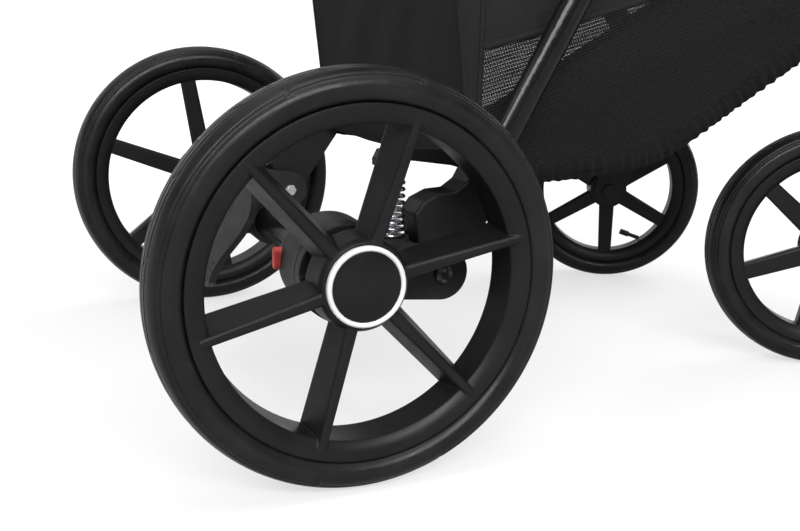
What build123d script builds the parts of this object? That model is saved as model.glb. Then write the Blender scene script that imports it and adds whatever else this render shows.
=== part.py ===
from build123d import *
import math
import os

# Baby stroller, millimetres. X points to the child's left, Y to the rear, Z up.
# Heights are above the floor; Y is taken from the rear axle and centred on export.

FIT = 0.05
GAP = 0.4
SIDE_GAP = 1.0

REAR_RADIUS = 150.0
REAR_HALF = 24.0
REAR_LIP = 126.0
REAR_X = 262.3
REAR_SPOKE_LEFT = 20.0
REAR_SPOKE_RIGHT = 46.4
FRONT_RADIUS = 122.0
FRONT_HALF = 20.0
FRONT_LIP = 100.0
FRONT_SPOKE_LEFT = 28.5
FRONT_SPOKE_RIGHT = 41.0
SPOKES = 6
RIM_INSET = 4.0
RIM_WALL = 2.5
TYRE_WALL = 5.5
RIM_DEEP = 14.0
HUB_R = 37.5
HUB_FRONT_R = 31.0
HUB_FACE = 11.0
AXLE_FLANGE_FACE = -34.0
BRAKE_NOTCHES = 12
BRAKE_RADIUS = 27.0
BRAKE_TRAVEL = 8.0
NOTCH_DEPTH = 8.0
BRAKE_PIN_R = 3.0
FRONT_VALVE_LEAN = -37.0
FRONT_VALVE_LEFT = 144.7
FRONT_VALVE_RIGHT = 161.0

HINGE_Y = -337.0
HINGE_Z = 600.0
HINGE_PIN_R = 6.0
HOUSING_X = (214.0, 238.0)
REAR_LEG_X = 204.5
HANDLE_X = 250.0
TUBE_SIDE = 8.5
KNUCKLE_HALF = 9.0
TUBE_DEEP = 12.0
TUBE_WALL = 1.6

LEG_FOOT_Y = -81.0
LEG_FOOT_Z = 130.0
PIVOT_Y = -81.0
PIVOT_Z = 142.0
PIVOT_R = 4.0
LUG_R = 21.0
BRACKET_HALF = 14.0
CHEEK = 8.0
SPRING_Y = -45.0
SPRING_SEAT_Z = 163.0
SPRING_TOP_Z = 224.0
SPRING_END = 0.6
SPRING_CAP = 5.0
SPRING_R = 10.4
SPRING_WIRE = 1.6
SPRING_TURNS = 11
STUB_R = 5.0
AXLE_TUBE_R = 15.0
AXLE_TUBE_WALL = 2.0
PEDAL_LINE = ((26.0, 214.0), (19.8, 172.0), (25.7, 144.0), (40.4, 120.0), (51.0, 85.0))
PEDAL_WALL = 5.0
PEDAL_RAISE = 2.0
PEDAL_RIM = 4.5
PEDAL_RIBS = ((45.0, 110.0), (47.4, 102.5), (49.3, 95.0))
PEDAL_RIB_HALF = 17.0
AXLE_HOUSING_R = 38.0
AXLE_HOUSING_X = 150.0
ARM_END_R = 22.0
BUTTON_X = 190.0
BUTTON_Z = 154.0
BUTTON_R = 3.6
BUTTON_LENGTH = 17.0
BUTTON_BACK = 28.5

SWIVEL_X = 192.0
SWIVEL_Y = -575.4
TRAIL = 39.3
CASTER_TURN = -29.0
STEM_R = 9.0
FORK_GAP = 23.5
FORK_WALL = 8.0
FORK_CROWN_Z = 250.0
SOCKET_Z = 275.0
SOCKET_TOP = 350.0
SOCKET_R = 25.0
FRONT_AXLE_R = 4.0
FRONT_FOOT_X = 202.0
LOCK_Z = 330.0

BASKET_HALF = 170.0
BASKET_WALL = 4.0
BASKET_REAR = (-128.0, 209.0)
SLOPE_START = (-344.0, 229.0)
SLOPE_RISE = 0.583
BASKET_FRONT_Y = -600.0
BASKET_TOP = (380.0, 440.0)
CROSSBAR_BEHIND = 23.4
CROSSBAR_R = 10.0
CROSSBAR_BOSS_R = 13.0

GRIP_Y = 120.0
GRIP_Z = 1020.0
GRIP_R = 17.0
HANDLE_R = 11.0
HANDLE_KNEE = (40.0, 970.0)
TRIGGER_RUN = 120.0
TRIGGER_LENGTH = 46.0

SEAT_SIDE_X = 160.0
SEAT_SIDE_WALL = 12.0
SEAT_REAR = (-236.0, 528.0)
SEAT_FRONT = (-445.0, 556.0)
SEAT_BOARD = 8.0
SEAT_PAD_T = 40.0
BACK_Y = -212.0
BACK_Z = 560.0
BACK_LEAN = 25.0
BACK_LENGTH = 450.0
BACK_HALF = 158.0
BACK_PAD_T = 38.0
BACK_PAD_START = 32.0
CANOPY_ALONG = 300.0
CANOPY_AHEAD = 60.0
CANOPY_R = 218.0
CANOPY_HALF = 190.0
CANOPY_WALL = 3.0
CANOPY_STEP = 6.0
CANOPY_PIN_R = 8.0
FOOT_DROP = 40.0
FOOT_LENGTH = 150.0
FOOT_HALF = 140.0
FOOT_PAD_T = 18.0
FOOT_PAD_START = 16.0
PAD_CROWN = 8.0
PAD_PULL = 4.0
PAD_ROUND = 9.0
PAD_CORNER = 16.0
FOOT_PAD_ROUND = 7.0
BUMPER_Y = -345.0
BUMPER_X = 170.0
BUMPER_R = 11.0
BUMPER_Z = 662.0

REAR_LEG_RUN = math.hypot(HINGE_Y - LEG_FOOT_Y, HINGE_Z - LEG_FOOT_Z)
REAR_LEG_DIR = ((HINGE_Y - LEG_FOOT_Y) / REAR_LEG_RUN, (HINGE_Z - LEG_FOOT_Z) / REAR_LEG_RUN)
FRONT_FOOT = (SWIVEL_Y + 22.0, SOCKET_TOP - 26.0)
FRONT_LEG_RUN = math.hypot(FRONT_FOOT[0] - HINGE_Y, FRONT_FOOT[1] - HINGE_Z)
FRONT_LEG_DIR = ((FRONT_FOOT[0] - HINGE_Y) / FRONT_LEG_RUN, (FRONT_FOOT[1] - HINGE_Z) / FRONT_LEG_RUN)
HANDLE_RUN = math.hypot(HANDLE_KNEE[0] - HINGE_Y, HANDLE_KNEE[1] - HINGE_Z)
HANDLE_DIR = ((HANDLE_KNEE[0] - HINGE_Y) / HANDLE_RUN, (HANDLE_KNEE[1] - HINGE_Z) / HANDLE_RUN)
BACK_DIR = (math.sin(math.radians(BACK_LEAN)), math.cos(math.radians(BACK_LEAN)))
BACK_OUT = (-BACK_DIR[1], BACK_DIR[0])
CANOPY_Y = BACK_Y + CANOPY_ALONG * BACK_DIR[0] + CANOPY_AHEAD * BACK_OUT[0]
CANOPY_Z = BACK_Z + CANOPY_ALONG * BACK_DIR[1] + CANOPY_AHEAD * BACK_OUT[1]
SWING_OUT = REAR_LEG_X + BRACKET_HALF + CHEEK + 0.5
SWING_IN = REAR_LEG_X - BRACKET_HALF - CHEEK - 0.5
BUTTON_PLANE = Plane(origin=(BUTTON_X, BUTTON_BACK, BUTTON_Z), x_dir=(1, 0, 0), z_dir=(0, 1, 0))
LOCK_Y = SWIVEL_Y - SOCKET_R - 7.0
CROSSBAR_Y = SWIVEL_Y + CROSSBAR_BEHIND
SLOPE_LENGTH = math.hypot(1.0, SLOPE_RISE)
CROSSBAR_Z = (
    SLOPE_START[1] + SLOPE_RISE * (SLOPE_START[0] - CROSSBAR_Y)
    - (CROSSBAR_BOSS_R + GAP) * SLOPE_LENGTH
)
FOOT_Y = SEAT_FRONT[0] - 7.0
FOOT_Z = SEAT_FRONT[1] - 4.0
FOOT_DIR = (-math.cos(math.radians(FOOT_DROP)), -math.sin(math.radians(FOOT_DROP)))

# The footprint is centred between the rear tyre and the turned front tyre.
FRONT_TORUS = FRONT_RADIUS - FRONT_HALF
FRONT_REACH = (
    -SWIVEL_Y - TRAIL * math.cos(math.radians(CASTER_TURN))
    + FRONT_TORUS * math.cos(math.radians(CASTER_TURN)) + FRONT_HALF
)
AXLE_Y = (FRONT_REACH - REAR_RADIUS) / 2


def slab(face, x_low, x_high):
    """A side-view face, drawn in Y and Z, made solid between two X stations."""
    return extrude(Plane.YZ.offset(x_low) * face, x_high - x_low)


def outline(*points):
    return make_face(Polyline(*points, close=True))


def disc(y, z, radius):
    return Pos(y, z) * Circle(radius)


def rod(x_low, x_high, y, z, radius):
    return slab(disc(y, z, radius), x_low, x_high)


def post(x, y, z_low, z_high, radius):
    return Pos(x, y, z_low) * extrude(Circle(radius), z_high - z_low)


def turned(*points):
    """A profile in X and radius, turned about the X axis."""
    return revolve(outline(*points), Axis.X)


def along(y, z, direction, run):
    return (y + direction[0] * run, z + direction[1] * run)


def across(x, place, direction):
    """A plane standing square to a tube that runs in a side-view direction."""
    return Plane(origin=(x, *place), x_dir=(1, 0, 0), z_dir=(0, *direction))


def other_side(shape):
    return mirror(shape, about=Plane.YZ)


def tyre(radius, half, lip):
    height = radius - lip
    bead = half - RIM_INSET - RIM_WALL - FIT
    shoulder = (0.72 * half, radius - 0.13 * height)
    edges = Curve() + [
        Line((bead - 4, lip - 3), (bead, lip - 3)),
        Line((bead, lip - 3), (bead, lip + FIT)),
        Line((bead, lip + FIT), (half - RIM_INSET + 0.5, lip + FIT)),
        ThreePointArc((half - RIM_INSET + 0.5, lip + FIT), (half, lip + 0.45 * height), shoulder),
        TangentArc((0, radius), shoulder, tangent=(1, 0)),
        TangentArc((0, radius - TYRE_WALL), (bead - 4, lip - 3), tangent=(1, 0)),
    ]
    face = make_face(edges + mirror(edges, about=Plane.YZ))
    drop = 0.13 * height
    crown = (shoulder[0] ** 2 + drop**2) / (2 * drop)
    for share in (0.28, 0.58):
        x = share * half
        r = radius - crown + math.sqrt(crown**2 - x**2)
        for side in (-1, 1):
            face -= Pos(side * x, r) * Rectangle(1.8, 3.2)
    return revolve(face, Axis.X)


def spoke(inner, outer, hub_face, rim_face, back):
    """One tapered spoke along Z with a narrow rounded ridge on its outer face."""
    near = outline((-back, -11), (hub_face, -4.5), (hub_face, 4.5), (-back, 11))
    far = outline((-back, -9), (rim_face, -3), (rim_face, 3), (-back, 9))
    near = fillet(near.vertices(), 3.2)
    far = fillet(far.vertices(), 2.2)
    return loft([Pos(0, 0, inner) * near, Pos(0, 0, outer) * far])


def rim(lip, half, hub, hub_face, angle):
    """A channelled rim with a rounded lip, its spokes running up onto the lip."""
    edge = half - RIM_INSET
    seat = edge - RIM_WALL
    inner = lip - RIM_DEEP
    side = Curve() + [
        Line((0, inner), (edge - 5.5, inner)),
        ThreePointArc((edge - 5.5, inner), (edge - 1.2, lip - 7), (edge, lip)),
        Line((edge, lip), (0, lip)),
    ]
    ring = revolve(make_face(side + mirror(side, about=Plane.YZ)), Axis.X)
    channel = turned(
        (seat, lip + 1), (seat, lip - 4), (edge - 6, lip - 9),
        (6 - edge, lip - 9), (-seat, lip - 4), (-seat, lip + 1),
    )
    one = spoke(20, lip - 5, hub_face, edge - 0.4, edge - 5)
    arms = [Rot(X=angle - 90 + k * 360 / SPOKES) * one for k in range(SPOKES)]
    return ring + hub + arms - channel


def rear_rim(angle):
    bore = STUB_R + FIT
    back = AXLE_FLANGE_FACE
    hub = turned(
        (back, 0), (back, HUB_R), (back + 10, HUB_R - 0.5), (HUB_FACE - 4, HUB_FRONT_R + 2.5),
        (HUB_FACE, HUB_FRONT_R), (HUB_FACE, 0),
    )
    wheel = rim(REAR_LIP, REAR_HALF, hub, HUB_FACE - 1.5, angle)
    wheel -= rod(back - 1, HUB_FACE - 5, 0, 0, bore)
    pocket = extrude(Pos(back + 15, 0, HUB_R - 7) * SlotOverall(25, 12, rotation=90), 20)
    for k in range(SPOKES):
        wheel -= Rot(X=angle - 60 + k * 360 / SPOKES) * pocket
    for k in range(BRAKE_NOTCHES):
        notch = Pos(back, 0, -BRAKE_RADIUS) * Box(2 * NOTCH_DEPTH, 8, 12)
        wheel -= Rot(X=k * 360 / BRAKE_NOTCHES) * notch
    return wheel


def front_rim(angle):
    hub = turned((-22, 0), (-22, 24), (17, 26), (22, 21), (22, 0))
    wheel = rim(FRONT_LIP, FRONT_HALF, hub, 15, angle)
    return wheel - rod(-30, 30, 0, 0, FRONT_AXLE_R + FIT)


def hub_ring():
    face = HUB_FACE
    return turned(
        (face, 25.4), (face, 29), (face + 3.2, 29), (face + 4.2, 28), (face + 4.2, 26.4), (face + 3.2, 25.4)
    )


def hub_cap():
    dome = Curve() + [
        Polyline((HUB_FACE, 0), (HUB_FACE, 25.1), (HUB_FACE + 2.8, 25.1)),
        ThreePointArc((HUB_FACE + 2.8, 25.1), (HUB_FACE + 4.8, 16), (HUB_FACE + 5.6, 6)),
        Polyline((HUB_FACE + 5.6, 6), (HUB_FACE + 5.6, 0), (HUB_FACE, 0)),
    ]
    return revolve(make_face(dome), Axis.X)


def valve():
    """An angled tyre valve standing off the rim, its cap towards the hub."""
    stem = extrude(Circle(2.6), 26) + Pos(0, 0, 15) * extrude(Circle(3.8), 12)
    lean = Rot(X=FRONT_VALVE_LEAN)
    foot = Pos(0, 0, FRONT_LIP - 14 - 2.0) * Rot(X=180) * lean
    return foot * stem


def swing_arm():
    """The trailing arm: a forked lug at the pivot, a spring seat and a bell round the axle."""
    ends = disc(PIVOT_Y, PIVOT_Z, LUG_R).edges() + disc(0, REAR_RADIUS, ARM_END_R).edges()
    arm = slab(make_hull(ends), SWING_IN, SWING_OUT)
    neck = AXLE_HOUSING_X + 6
    bell = Curve() + [
        Polyline((AXLE_HOUSING_X, 0), (AXLE_HOUSING_X, 16), (neck, 19)),
        ThreePointArc((neck, 19), (neck + 14, AXLE_HOUSING_R - 7), (BUTTON_X, AXLE_HOUSING_R)),
        Polyline((BUTTON_X, AXLE_HOUSING_R), (SWING_OUT, AXLE_HOUSING_R - 0.5)),
        Polyline((SWING_OUT, AXLE_HOUSING_R - 0.5), (SWING_OUT, 0), (AXLE_HOUSING_X, 0)),
    ]
    arm += Pos(0, 0, REAR_RADIUS) * revolve(make_face(bell), Axis.X)
    arm += post(REAR_LEG_X, SPRING_Y, SPRING_SEAT_Z - 12, SPRING_SEAT_Z + 6, 15.5)
    slot_end = PIVOT_Y + LUG_R
    slot = outline((PIVOT_Y - 40, 90), (slot_end, 90), (slot_end, 190), (PIVOT_Y - 40, 190))
    arm -= slab(slot, SWING_IN + CHEEK, SWING_OUT - CHEEK)
    arm -= post(REAR_LEG_X, SPRING_Y, SPRING_SEAT_Z, SPRING_SEAT_Z + 30, SPRING_R + SPRING_WIRE + 0.8)
    arm -= rod(SWING_IN - 1, SWING_OUT + 1, PIVOT_Y, PIVOT_Z, PIVOT_R + 2 * FIT)
    arm -= rod(AXLE_HOUSING_X - 1, AXLE_HOUSING_X + 22, 0, REAR_RADIUS, AXLE_TUBE_R + FIT)
    arm -= rod(AXLE_HOUSING_X, SWING_OUT + 1, 0, REAR_RADIUS, STUB_R + FIT)
    arm -= rod(AXLE_HOUSING_X + 38, SWING_OUT + 1, 0, REAR_RADIUS - BRAKE_RADIUS, BRAKE_PIN_R + 2 * FIT)
    return arm - extrude(BUTTON_PLANE * button_face(BUTTON_R + 0.3), 30)


def button_face(radius):
    return SlotOverall(BUTTON_LENGTH + 2 * (radius - BUTTON_R), 2 * radius, rotation=90)


def release_button():
    button = extrude(BUTTON_PLANE * button_face(BUTTON_R), 10.5)
    return Pos(0, 3.5, 0) * fillet(button.faces().sort_by(Axis.Y)[-1].edges(), 1.2)


def leg_bracket():
    x_low = REAR_LEG_X - BRACKET_HALF
    x_high = REAR_LEG_X + BRACKET_HALF
    body = outline(
        (-102, 138), (-106, 154), (-153, 222), (-120, 240), (-104, 210), (-94, 203),
        (-80, 202), (-67, 196), (-60, 187), (-63, 172), (-67, 148),
    )
    body = fillet(body.vertices(), 3)
    bracket = slab(body, x_low, x_high)
    for rim_face in (bracket.faces().sort_by(Axis.X)[0], bracket.faces().sort_by(Axis.X)[-1]):
        bracket = fillet(rim_face.edges(), 2.4)
    bracket += rod(x_low, x_high, PIVOT_Y, PIVOT_Z, LUG_R - 1)
    cap = SPRING_TOP_Z + SPRING_CAP
    arm = outline(
        (-128, 224), (-112, 220), (SPRING_Y - 15, cap - 2), (SPRING_Y + 12, cap - 2),
        (SPRING_Y + 8, cap + 6), (SPRING_Y - 12, cap + 9), (-124, cap + 7),
    )
    arm = slab(arm, x_low + 5, x_high - 5)
    for rim_face in (arm.faces().sort_by(Axis.X)[0], arm.faces().sort_by(Axis.X)[-1]):
        arm = fillet(rim_face.edges(), 3)
    bracket += arm
    bracket += post(REAR_LEG_X, SPRING_Y, SPRING_TOP_Z, cap, SPRING_R + SPRING_WIRE + 2)
    socket = across(REAR_LEG_X, along(LEG_FOOT_Y, LEG_FOOT_Z, REAR_LEG_DIR, 28), REAR_LEG_DIR)
    bracket -= extrude(socket * Ellipse(TUBE_SIDE + FIT, TUBE_DEEP + FIT), 200)
    return bracket - rod(x_low - 1, x_high + 1, PIVOT_Y, PIVOT_Z, PIVOT_R + FIT)


def pivot_bolt():
    head = SWING_OUT + GAP
    tail = SWING_IN - GAP
    bolt = rod(tail - 6, head + 3, PIVOT_Y, PIVOT_Z, PIVOT_R)
    nut = extrude(Plane.YZ.offset(tail - 5) * Pos(PIVOT_Y, PIVOT_Z) * RegularPolygon(6.6, 6), 5)
    return bolt + rod(head, head + 3, PIVOT_Y, PIVOT_Z, 7) + nut


def helix_point(angle):
    pitch = (SPRING_TOP_Z - SPRING_SEAT_Z - 2 * (SPRING_WIRE + SPRING_END)) / SPRING_TURNS
    low = SPRING_SEAT_Z + SPRING_WIRE + SPRING_END
    place = Vector(SPRING_R * math.cos(angle), SPRING_R * math.sin(angle), low + pitch * angle / math.tau)
    heading = Vector(-SPRING_R * math.sin(angle), SPRING_R * math.cos(angle), pitch / math.tau)
    return place, heading.normalized()


def biarc(start, heading, end, arrival):
    """Two arcs that meet smoothly, from one point and heading to another."""
    chord = end - start
    turn = heading + arrival
    a = 2 * (1 - heading.dot(arrival))
    b = 2 * chord.dot(turn)
    c = -chord.dot(chord)
    reach = (-b + math.sqrt(b * b - 4 * a * c)) / (2 * a)
    reach = abs(reach)
    first = start + heading * reach
    last = end - arrival * reach
    middle = (first + last) / 2
    return [
        TangentArc(start, middle, tangent=heading),
        TangentArc(middle, end, tangent=(last - first).normalized()),
    ]


def spring():
    """A coil spring wound as one wire, with a short straight run at each end."""
    quarter = math.pi / 2
    steps = [helix_point(k * quarter) for k in range(4 * SPRING_TURNS + 1)]
    edges = []
    for (start, heading), (end, arrival) in zip(steps, steps[1:]):
        edges += biarc(start, heading, end, arrival)
    first, lead = steps[0]
    last, trail = steps[-1]
    edges.insert(0, Line(first - lead * 2 * SPRING_WIRE, first))
    edges.append(Line(last, last + trail * 2 * SPRING_WIRE))
    path = Wire(edges)
    section = Plane(origin=path @ 0, z_dir=path % 0) * Circle(SPRING_WIRE)
    coil = sweep(section, path=path)
    samples = [path @ (k / 640) for k in range(641)]
    apart = min(
        (samples[i] - samples[j]).length
        for i in range(0, 641, 4) for j in range(i + 40, 641)
    )
    print(f"least gap of the spring wire to itself {apart - 2 * SPRING_WIRE:.2f} mm")
    return Pos(REAR_LEG_X, SPRING_Y, 0) * coil


def rear_leg():
    low = along(LEG_FOOT_Y, LEG_FOOT_Z, REAR_LEG_DIR, 30)
    place = across(REAR_LEG_X, low, REAR_LEG_DIR)
    run = REAR_LEG_RUN - 30 - 8
    leg = extrude(place * Ellipse(TUBE_SIDE, TUBE_DEEP), run)
    leg += rod(REAR_LEG_X - KNUCKLE_HALF, REAR_LEG_X + KNUCKLE_HALF, HINGE_Y, HINGE_Z, 27)
    leg -= extrude(place * Ellipse(TUBE_SIDE - TUBE_WALL, TUBE_DEEP - TUBE_WALL), run - 25)
    pin = HINGE_PIN_R + FIT
    return leg - rod(REAR_LEG_X - 20, REAR_LEG_X + 20, HINGE_Y, HINGE_Z, pin)


def stub_axle():
    return rod(AXLE_HOUSING_X + 26, REAR_X + 4, 0, REAR_RADIUS, STUB_R)


def axle_tube():
    end = AXLE_HOUSING_X + 21
    tube = rod(-end, end, 0, REAR_RADIUS, AXLE_TUBE_R)
    return tube - rod(-end - 1, end + 1, 0, REAR_RADIUS, AXLE_TUBE_R - AXLE_TUBE_WALL)


def brake_pin():
    return rod(AXLE_HOUSING_X + 44, SWING_OUT, 0, REAR_RADIUS - BRAKE_RADIUS, BRAKE_PIN_R)


def pedal_plate(front, back):
    """A plate that follows the pedal's curved side view between two depths."""
    ahead = [(y + front, z) for y, z in PEDAL_LINE]
    behind = [(y + back, z) for y, z in PEDAL_LINE]
    side = Curve() + [
        Spline(*ahead),
        Line(ahead[-1], behind[-1]),
        Spline(*behind[::-1]),
        Line(behind[0], ahead[0]),
    ]
    return slab(make_face(side), -70, 70)


def brake_pedal():
    """A rocker paddle behind the axle tube, leaf shaped seen from the rear, with a raised rim."""
    sleeve = rod(-34, 34, 0, REAR_RADIUS, AXLE_TUBE_R + 6)
    leaf = Curve() + [
        ThreePointArc((-48, 204), (0, 212), (48, 204)),
        ThreePointArc((48, 204), (63, 183), (52, 153)),
        ThreePointArc((52, 153), (35, 121), (26, 94)),
        ThreePointArc((26, 94), (0, 86), (-26, 94)),
        ThreePointArc((-26, 94), (-35, 121), (-52, 153)),
        ThreePointArc((-52, 153), (-63, 183), (-48, 204)),
    ]
    leaf = make_face(leaf)
    inside = offset(leaf, -PEDAL_RIM)
    paddle = pedal_plate(0, PEDAL_WALL + PEDAL_RAISE) & extrude(Plane.XZ * leaf, -100)
    paddle -= pedal_plate(PEDAL_WALL, PEDAL_WALL + 9) & extrude(Plane.XZ * inside, -100)
    for y, z in PEDAL_RIBS:
        paddle += rod(-PEDAL_RIB_HALF, PEDAL_RIB_HALF, y + PEDAL_WALL, z, PEDAL_RAISE)
    web = outline((0, 138), (28, 138), (24, 164), (0, 162))
    pedal = sleeve + paddle + slab(web, -24, 24)
    return pedal - rod(-40, 40, 0, REAR_RADIUS, AXLE_TUBE_R + GAP)


def front_leg_path():
    high = along(HINGE_Y, HINGE_Z, FRONT_LEG_DIR, 26)
    knee = along(HINGE_Y, HINGE_Z, FRONT_LEG_DIR, 190)
    x = sum(HOUSING_X) / 2
    return FilletPolyline((x, *high), (x, *knee), (FRONT_FOOT_X, *FRONT_FOOT), radius=150)


def swept_tube(path, side, deep):
    start = Plane(origin=path @ 0, x_dir=(1, 0, 0), z_dir=path % 0)
    solid = sweep(start * Ellipse(side, deep), path=path)
    return solid - sweep(start * Ellipse(side - TUBE_WALL, deep - TUBE_WALL), path=path)


def front_leg():
    return swept_tube(front_leg_path(), TUBE_SIDE, TUBE_DEEP)


def front_leg_core():
    path = front_leg_path()
    start = Plane(origin=path @ 0, x_dir=(1, 0, 0), z_dir=path % 0)
    return sweep(start * Ellipse(TUBE_SIDE + FIT, TUBE_DEEP + FIT), path=path)


def fold_housing():
    place = across(sum(HOUSING_X) / 2, (HINGE_Y, HINGE_Z), FRONT_LEG_DIR)
    hub = rod(*HOUSING_X, HINGE_Y, HINGE_Z, 33)
    hub += extrude(place * Ellipse(11.4, 18), 88)
    hub -= front_leg_core()
    return hub - rod(HOUSING_X[0] - 1, HOUSING_X[1] + 1, HINGE_Y, HINGE_Z, HINGE_PIN_R + FIT)


def fold_pin():
    inner = REAR_LEG_X - KNUCKLE_HALF - SIDE_GAP
    outer = HANDLE_X + HANDLE_R + SIDE_GAP
    pin = rod(inner - 8, outer + 1, HINGE_Y, HINGE_Z, HINGE_PIN_R)
    pin += rod(inner - 10, inner, HINGE_Y, HINGE_Z, 15)
    cap = rod(outer, outer + 7, HINGE_Y, HINGE_Z, 30)
    return pin + fillet(cap.faces().sort_by(Axis.X)[-1].edges(), 5)


def caster_socket():
    body = post(SWIVEL_X, SWIVEL_Y, SOCKET_Z, SOCKET_TOP, SOCKET_R)
    body = fillet(body.faces().sort_by(Axis.Z)[-1].edges(), 8)
    path = front_leg_path()
    heading = path % 1
    low = Plane(origin=path @ 1 + heading * 12, x_dir=(1, 0, 0), z_dir=-heading)
    body += extrude(low * Ellipse(TUBE_SIDE + 4, TUBE_DEEP + 4), 75)
    body += rod(SWIVEL_X - 34, SWIVEL_X, CROSSBAR_Y, CROSSBAR_Z, CROSSBAR_BOSS_R)
    for side in (-1, 1):
        ear = outline(
            (SWIVEL_Y - 20, LOCK_Z - 9), (LOCK_Y - 5, LOCK_Z - 5), (LOCK_Y - 5, LOCK_Z + 5),
            (SWIVEL_Y - 20, LOCK_Z + 9),
        )
        x = SWIVEL_X + side * 11.5
        body += slab(ear, x - 2, x + 2) - rod(x - 3, x + 3, LOCK_Y, LOCK_Z, 2 + 2 * FIT)
    body -= front_leg_core()
    body -= post(SWIVEL_X, SWIVEL_Y, SOCKET_Z - 1, SOCKET_TOP - 25, STEM_R + FIT)
    return body - rod(SWIVEL_X - 40, SWIVEL_X - 14, CROSSBAR_Y, CROSSBAR_Z, CROSSBAR_R + FIT)


def swivel_lock():
    """A flip lever on the front of the caster socket."""
    lever = outline(
        (LOCK_Y - 4, LOCK_Z + 5), (LOCK_Y + 3.5, LOCK_Z + 5), (LOCK_Y + 3.5, LOCK_Z - 30),
        (LOCK_Y - 4, LOCK_Z - 38), (LOCK_Y - 8, LOCK_Z - 36), (LOCK_Y - 5, LOCK_Z - 8),
    )
    body = slab(lever, SWIVEL_X - 8.8, SWIVEL_X + 8.8)
    return body + rod(SWIVEL_X - 13, SWIVEL_X + 13, LOCK_Y, LOCK_Z, 2)


def front_crossbar():
    end = SWIVEL_X - 15
    bar = rod(-end, end, CROSSBAR_Y, CROSSBAR_Z, CROSSBAR_R)
    return bar - rod(-end - 1, end + 1, CROSSBAR_Y, CROSSBAR_Z, CROSSBAR_R - TUBE_WALL)


def caster_fork():
    top = FORK_CROWN_Z + 23
    crown = outline((-25, FORK_CROWN_Z), (22, FORK_CROWN_Z), (22, top), (-25, top))
    blade = make_hull(crown.edges() + disc(TRAIL, FRONT_RADIUS, 19).edges())
    outer = FORK_GAP + FORK_WALL
    fork = slab(crown, -outer, outer)
    fork = fillet(fork.edges().filter_by(Axis.Z), 8)
    fork += slab(blade, FORK_GAP, outer) + slab(blade, -outer, -FORK_GAP)
    fork += post(0, 0, top - 2, SOCKET_TOP - 27, STEM_R)
    return fork - rod(-outer - 1, outer + 1, TRAIL, FRONT_RADIUS, FRONT_AXLE_R + FIT)


def front_axle():
    outer = FORK_GAP + FORK_WALL
    pin = rod(-outer - 3, outer + 3, TRAIL, FRONT_RADIUS, FRONT_AXLE_R)
    for side in (-1, 1):
        head = rod(-2.5, 2.5, TRAIL, FRONT_RADIUS, 9)
        pin += Pos(side * (outer + 2.5), 0, 0) * fillet(head.edges(), 1)
    return pin


def basket():
    """An open bag with a level floor, a sloping front and straight sides."""
    tall = 120.0
    slope_top = SLOPE_START[1] + SLOPE_RISE * (SLOPE_START[0] - BASKET_FRONT_Y)
    floor = [
        BASKET_REAR, (-190, 202), (-310, 212), SLOPE_START,
        (BASKET_FRONT_Y, slope_top),
    ]
    high = max(BASKET_TOP) + tall
    shape = outline(*floor, (BASKET_FRONT_Y - 6, high), (BASKET_REAR[0] + 34, high))
    inner = offset(shape, -BASKET_WALL, kind=Kind.INTERSECTION)
    bag = slab(shape, -BASKET_HALF, BASKET_HALF)
    bag -= slab(inner, BASKET_WALL - BASKET_HALF, BASKET_HALF - BASKET_WALL)
    rim_cut = outline(
        (BASKET_REAR[0] + 60, BASKET_TOP[0]), (BASKET_REAR[0] + 60, high + 10), (BASKET_FRONT_Y - 40, high + 10),
        (BASKET_FRONT_Y - 40, BASKET_TOP[1]),
    )
    return bag - slab(rim_cut, -BASKET_HALF - 1, BASKET_HALF + 1)


def handle_tube():
    start = along(HINGE_Y, HINGE_Z, HANDLE_DIR, 12)
    path = FilletPolyline(
        (HANDLE_X, *start), (HANDLE_X, *HANDLE_KNEE), (HANDLE_X, GRIP_Y, GRIP_Z),
        (GAP, GRIP_Y, GRIP_Z), radius=42,
    )
    plane = Plane(origin=path @ 0, x_dir=(1, 0, 0), z_dir=path % 0)
    tube = sweep(plane * Circle(HANDLE_R), path=path)
    tube -= sweep(plane * Circle(HANDLE_R - TUBE_WALL), path=path)
    knuckle = rod(HANDLE_X - 9.5, HANDLE_X + 9.5, HINGE_Y, HINGE_Z, 27)
    knuckle += extrude(across(HANDLE_X, (HINGE_Y, HINGE_Z), HANDLE_DIR) * Circle(9.2), 60)
    return tube + knuckle - rod(HANDLE_X - 20, HANDLE_X + 20, HINGE_Y, HINGE_Z, HINGE_PIN_R + FIT)


def handle_grip():
    end = HANDLE_X - 58
    grip = rod(-end, end, GRIP_Y, GRIP_Z, GRIP_R)
    grip = fillet(grip.edges(), 4)
    return grip - rod(-end - 1, end + 1, GRIP_Y, GRIP_Z, HANDLE_R + FIT)


def fold_trigger():
    """A finger slide round the handle tube above the fold hinge."""
    place = across(HANDLE_X, along(HINGE_Y, HINGE_Z, HANDLE_DIR, TRIGGER_RUN), HANDLE_DIR)
    slide = extrude(place * RectangleRounded(30, 32, 9), TRIGGER_LENGTH)
    lip = extrude(place * Pos(0, 3) * RectangleRounded(34, 40, 10), 9)
    return slide + lip - extrude(place * Circle(HANDLE_R + GAP), TRIGGER_LENGTH + 20)


def seat_board(low, high):
    """The side view of a slab lying between two heights over the seat line."""
    return outline(
        (SEAT_REAR[0], SEAT_REAR[1] + low), (SEAT_REAR[0], SEAT_REAR[1] + high),
        (SEAT_FRONT[0], SEAT_FRONT[1] + high), (SEAT_FRONT[0], SEAT_FRONT[1] + low),
    )


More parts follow.
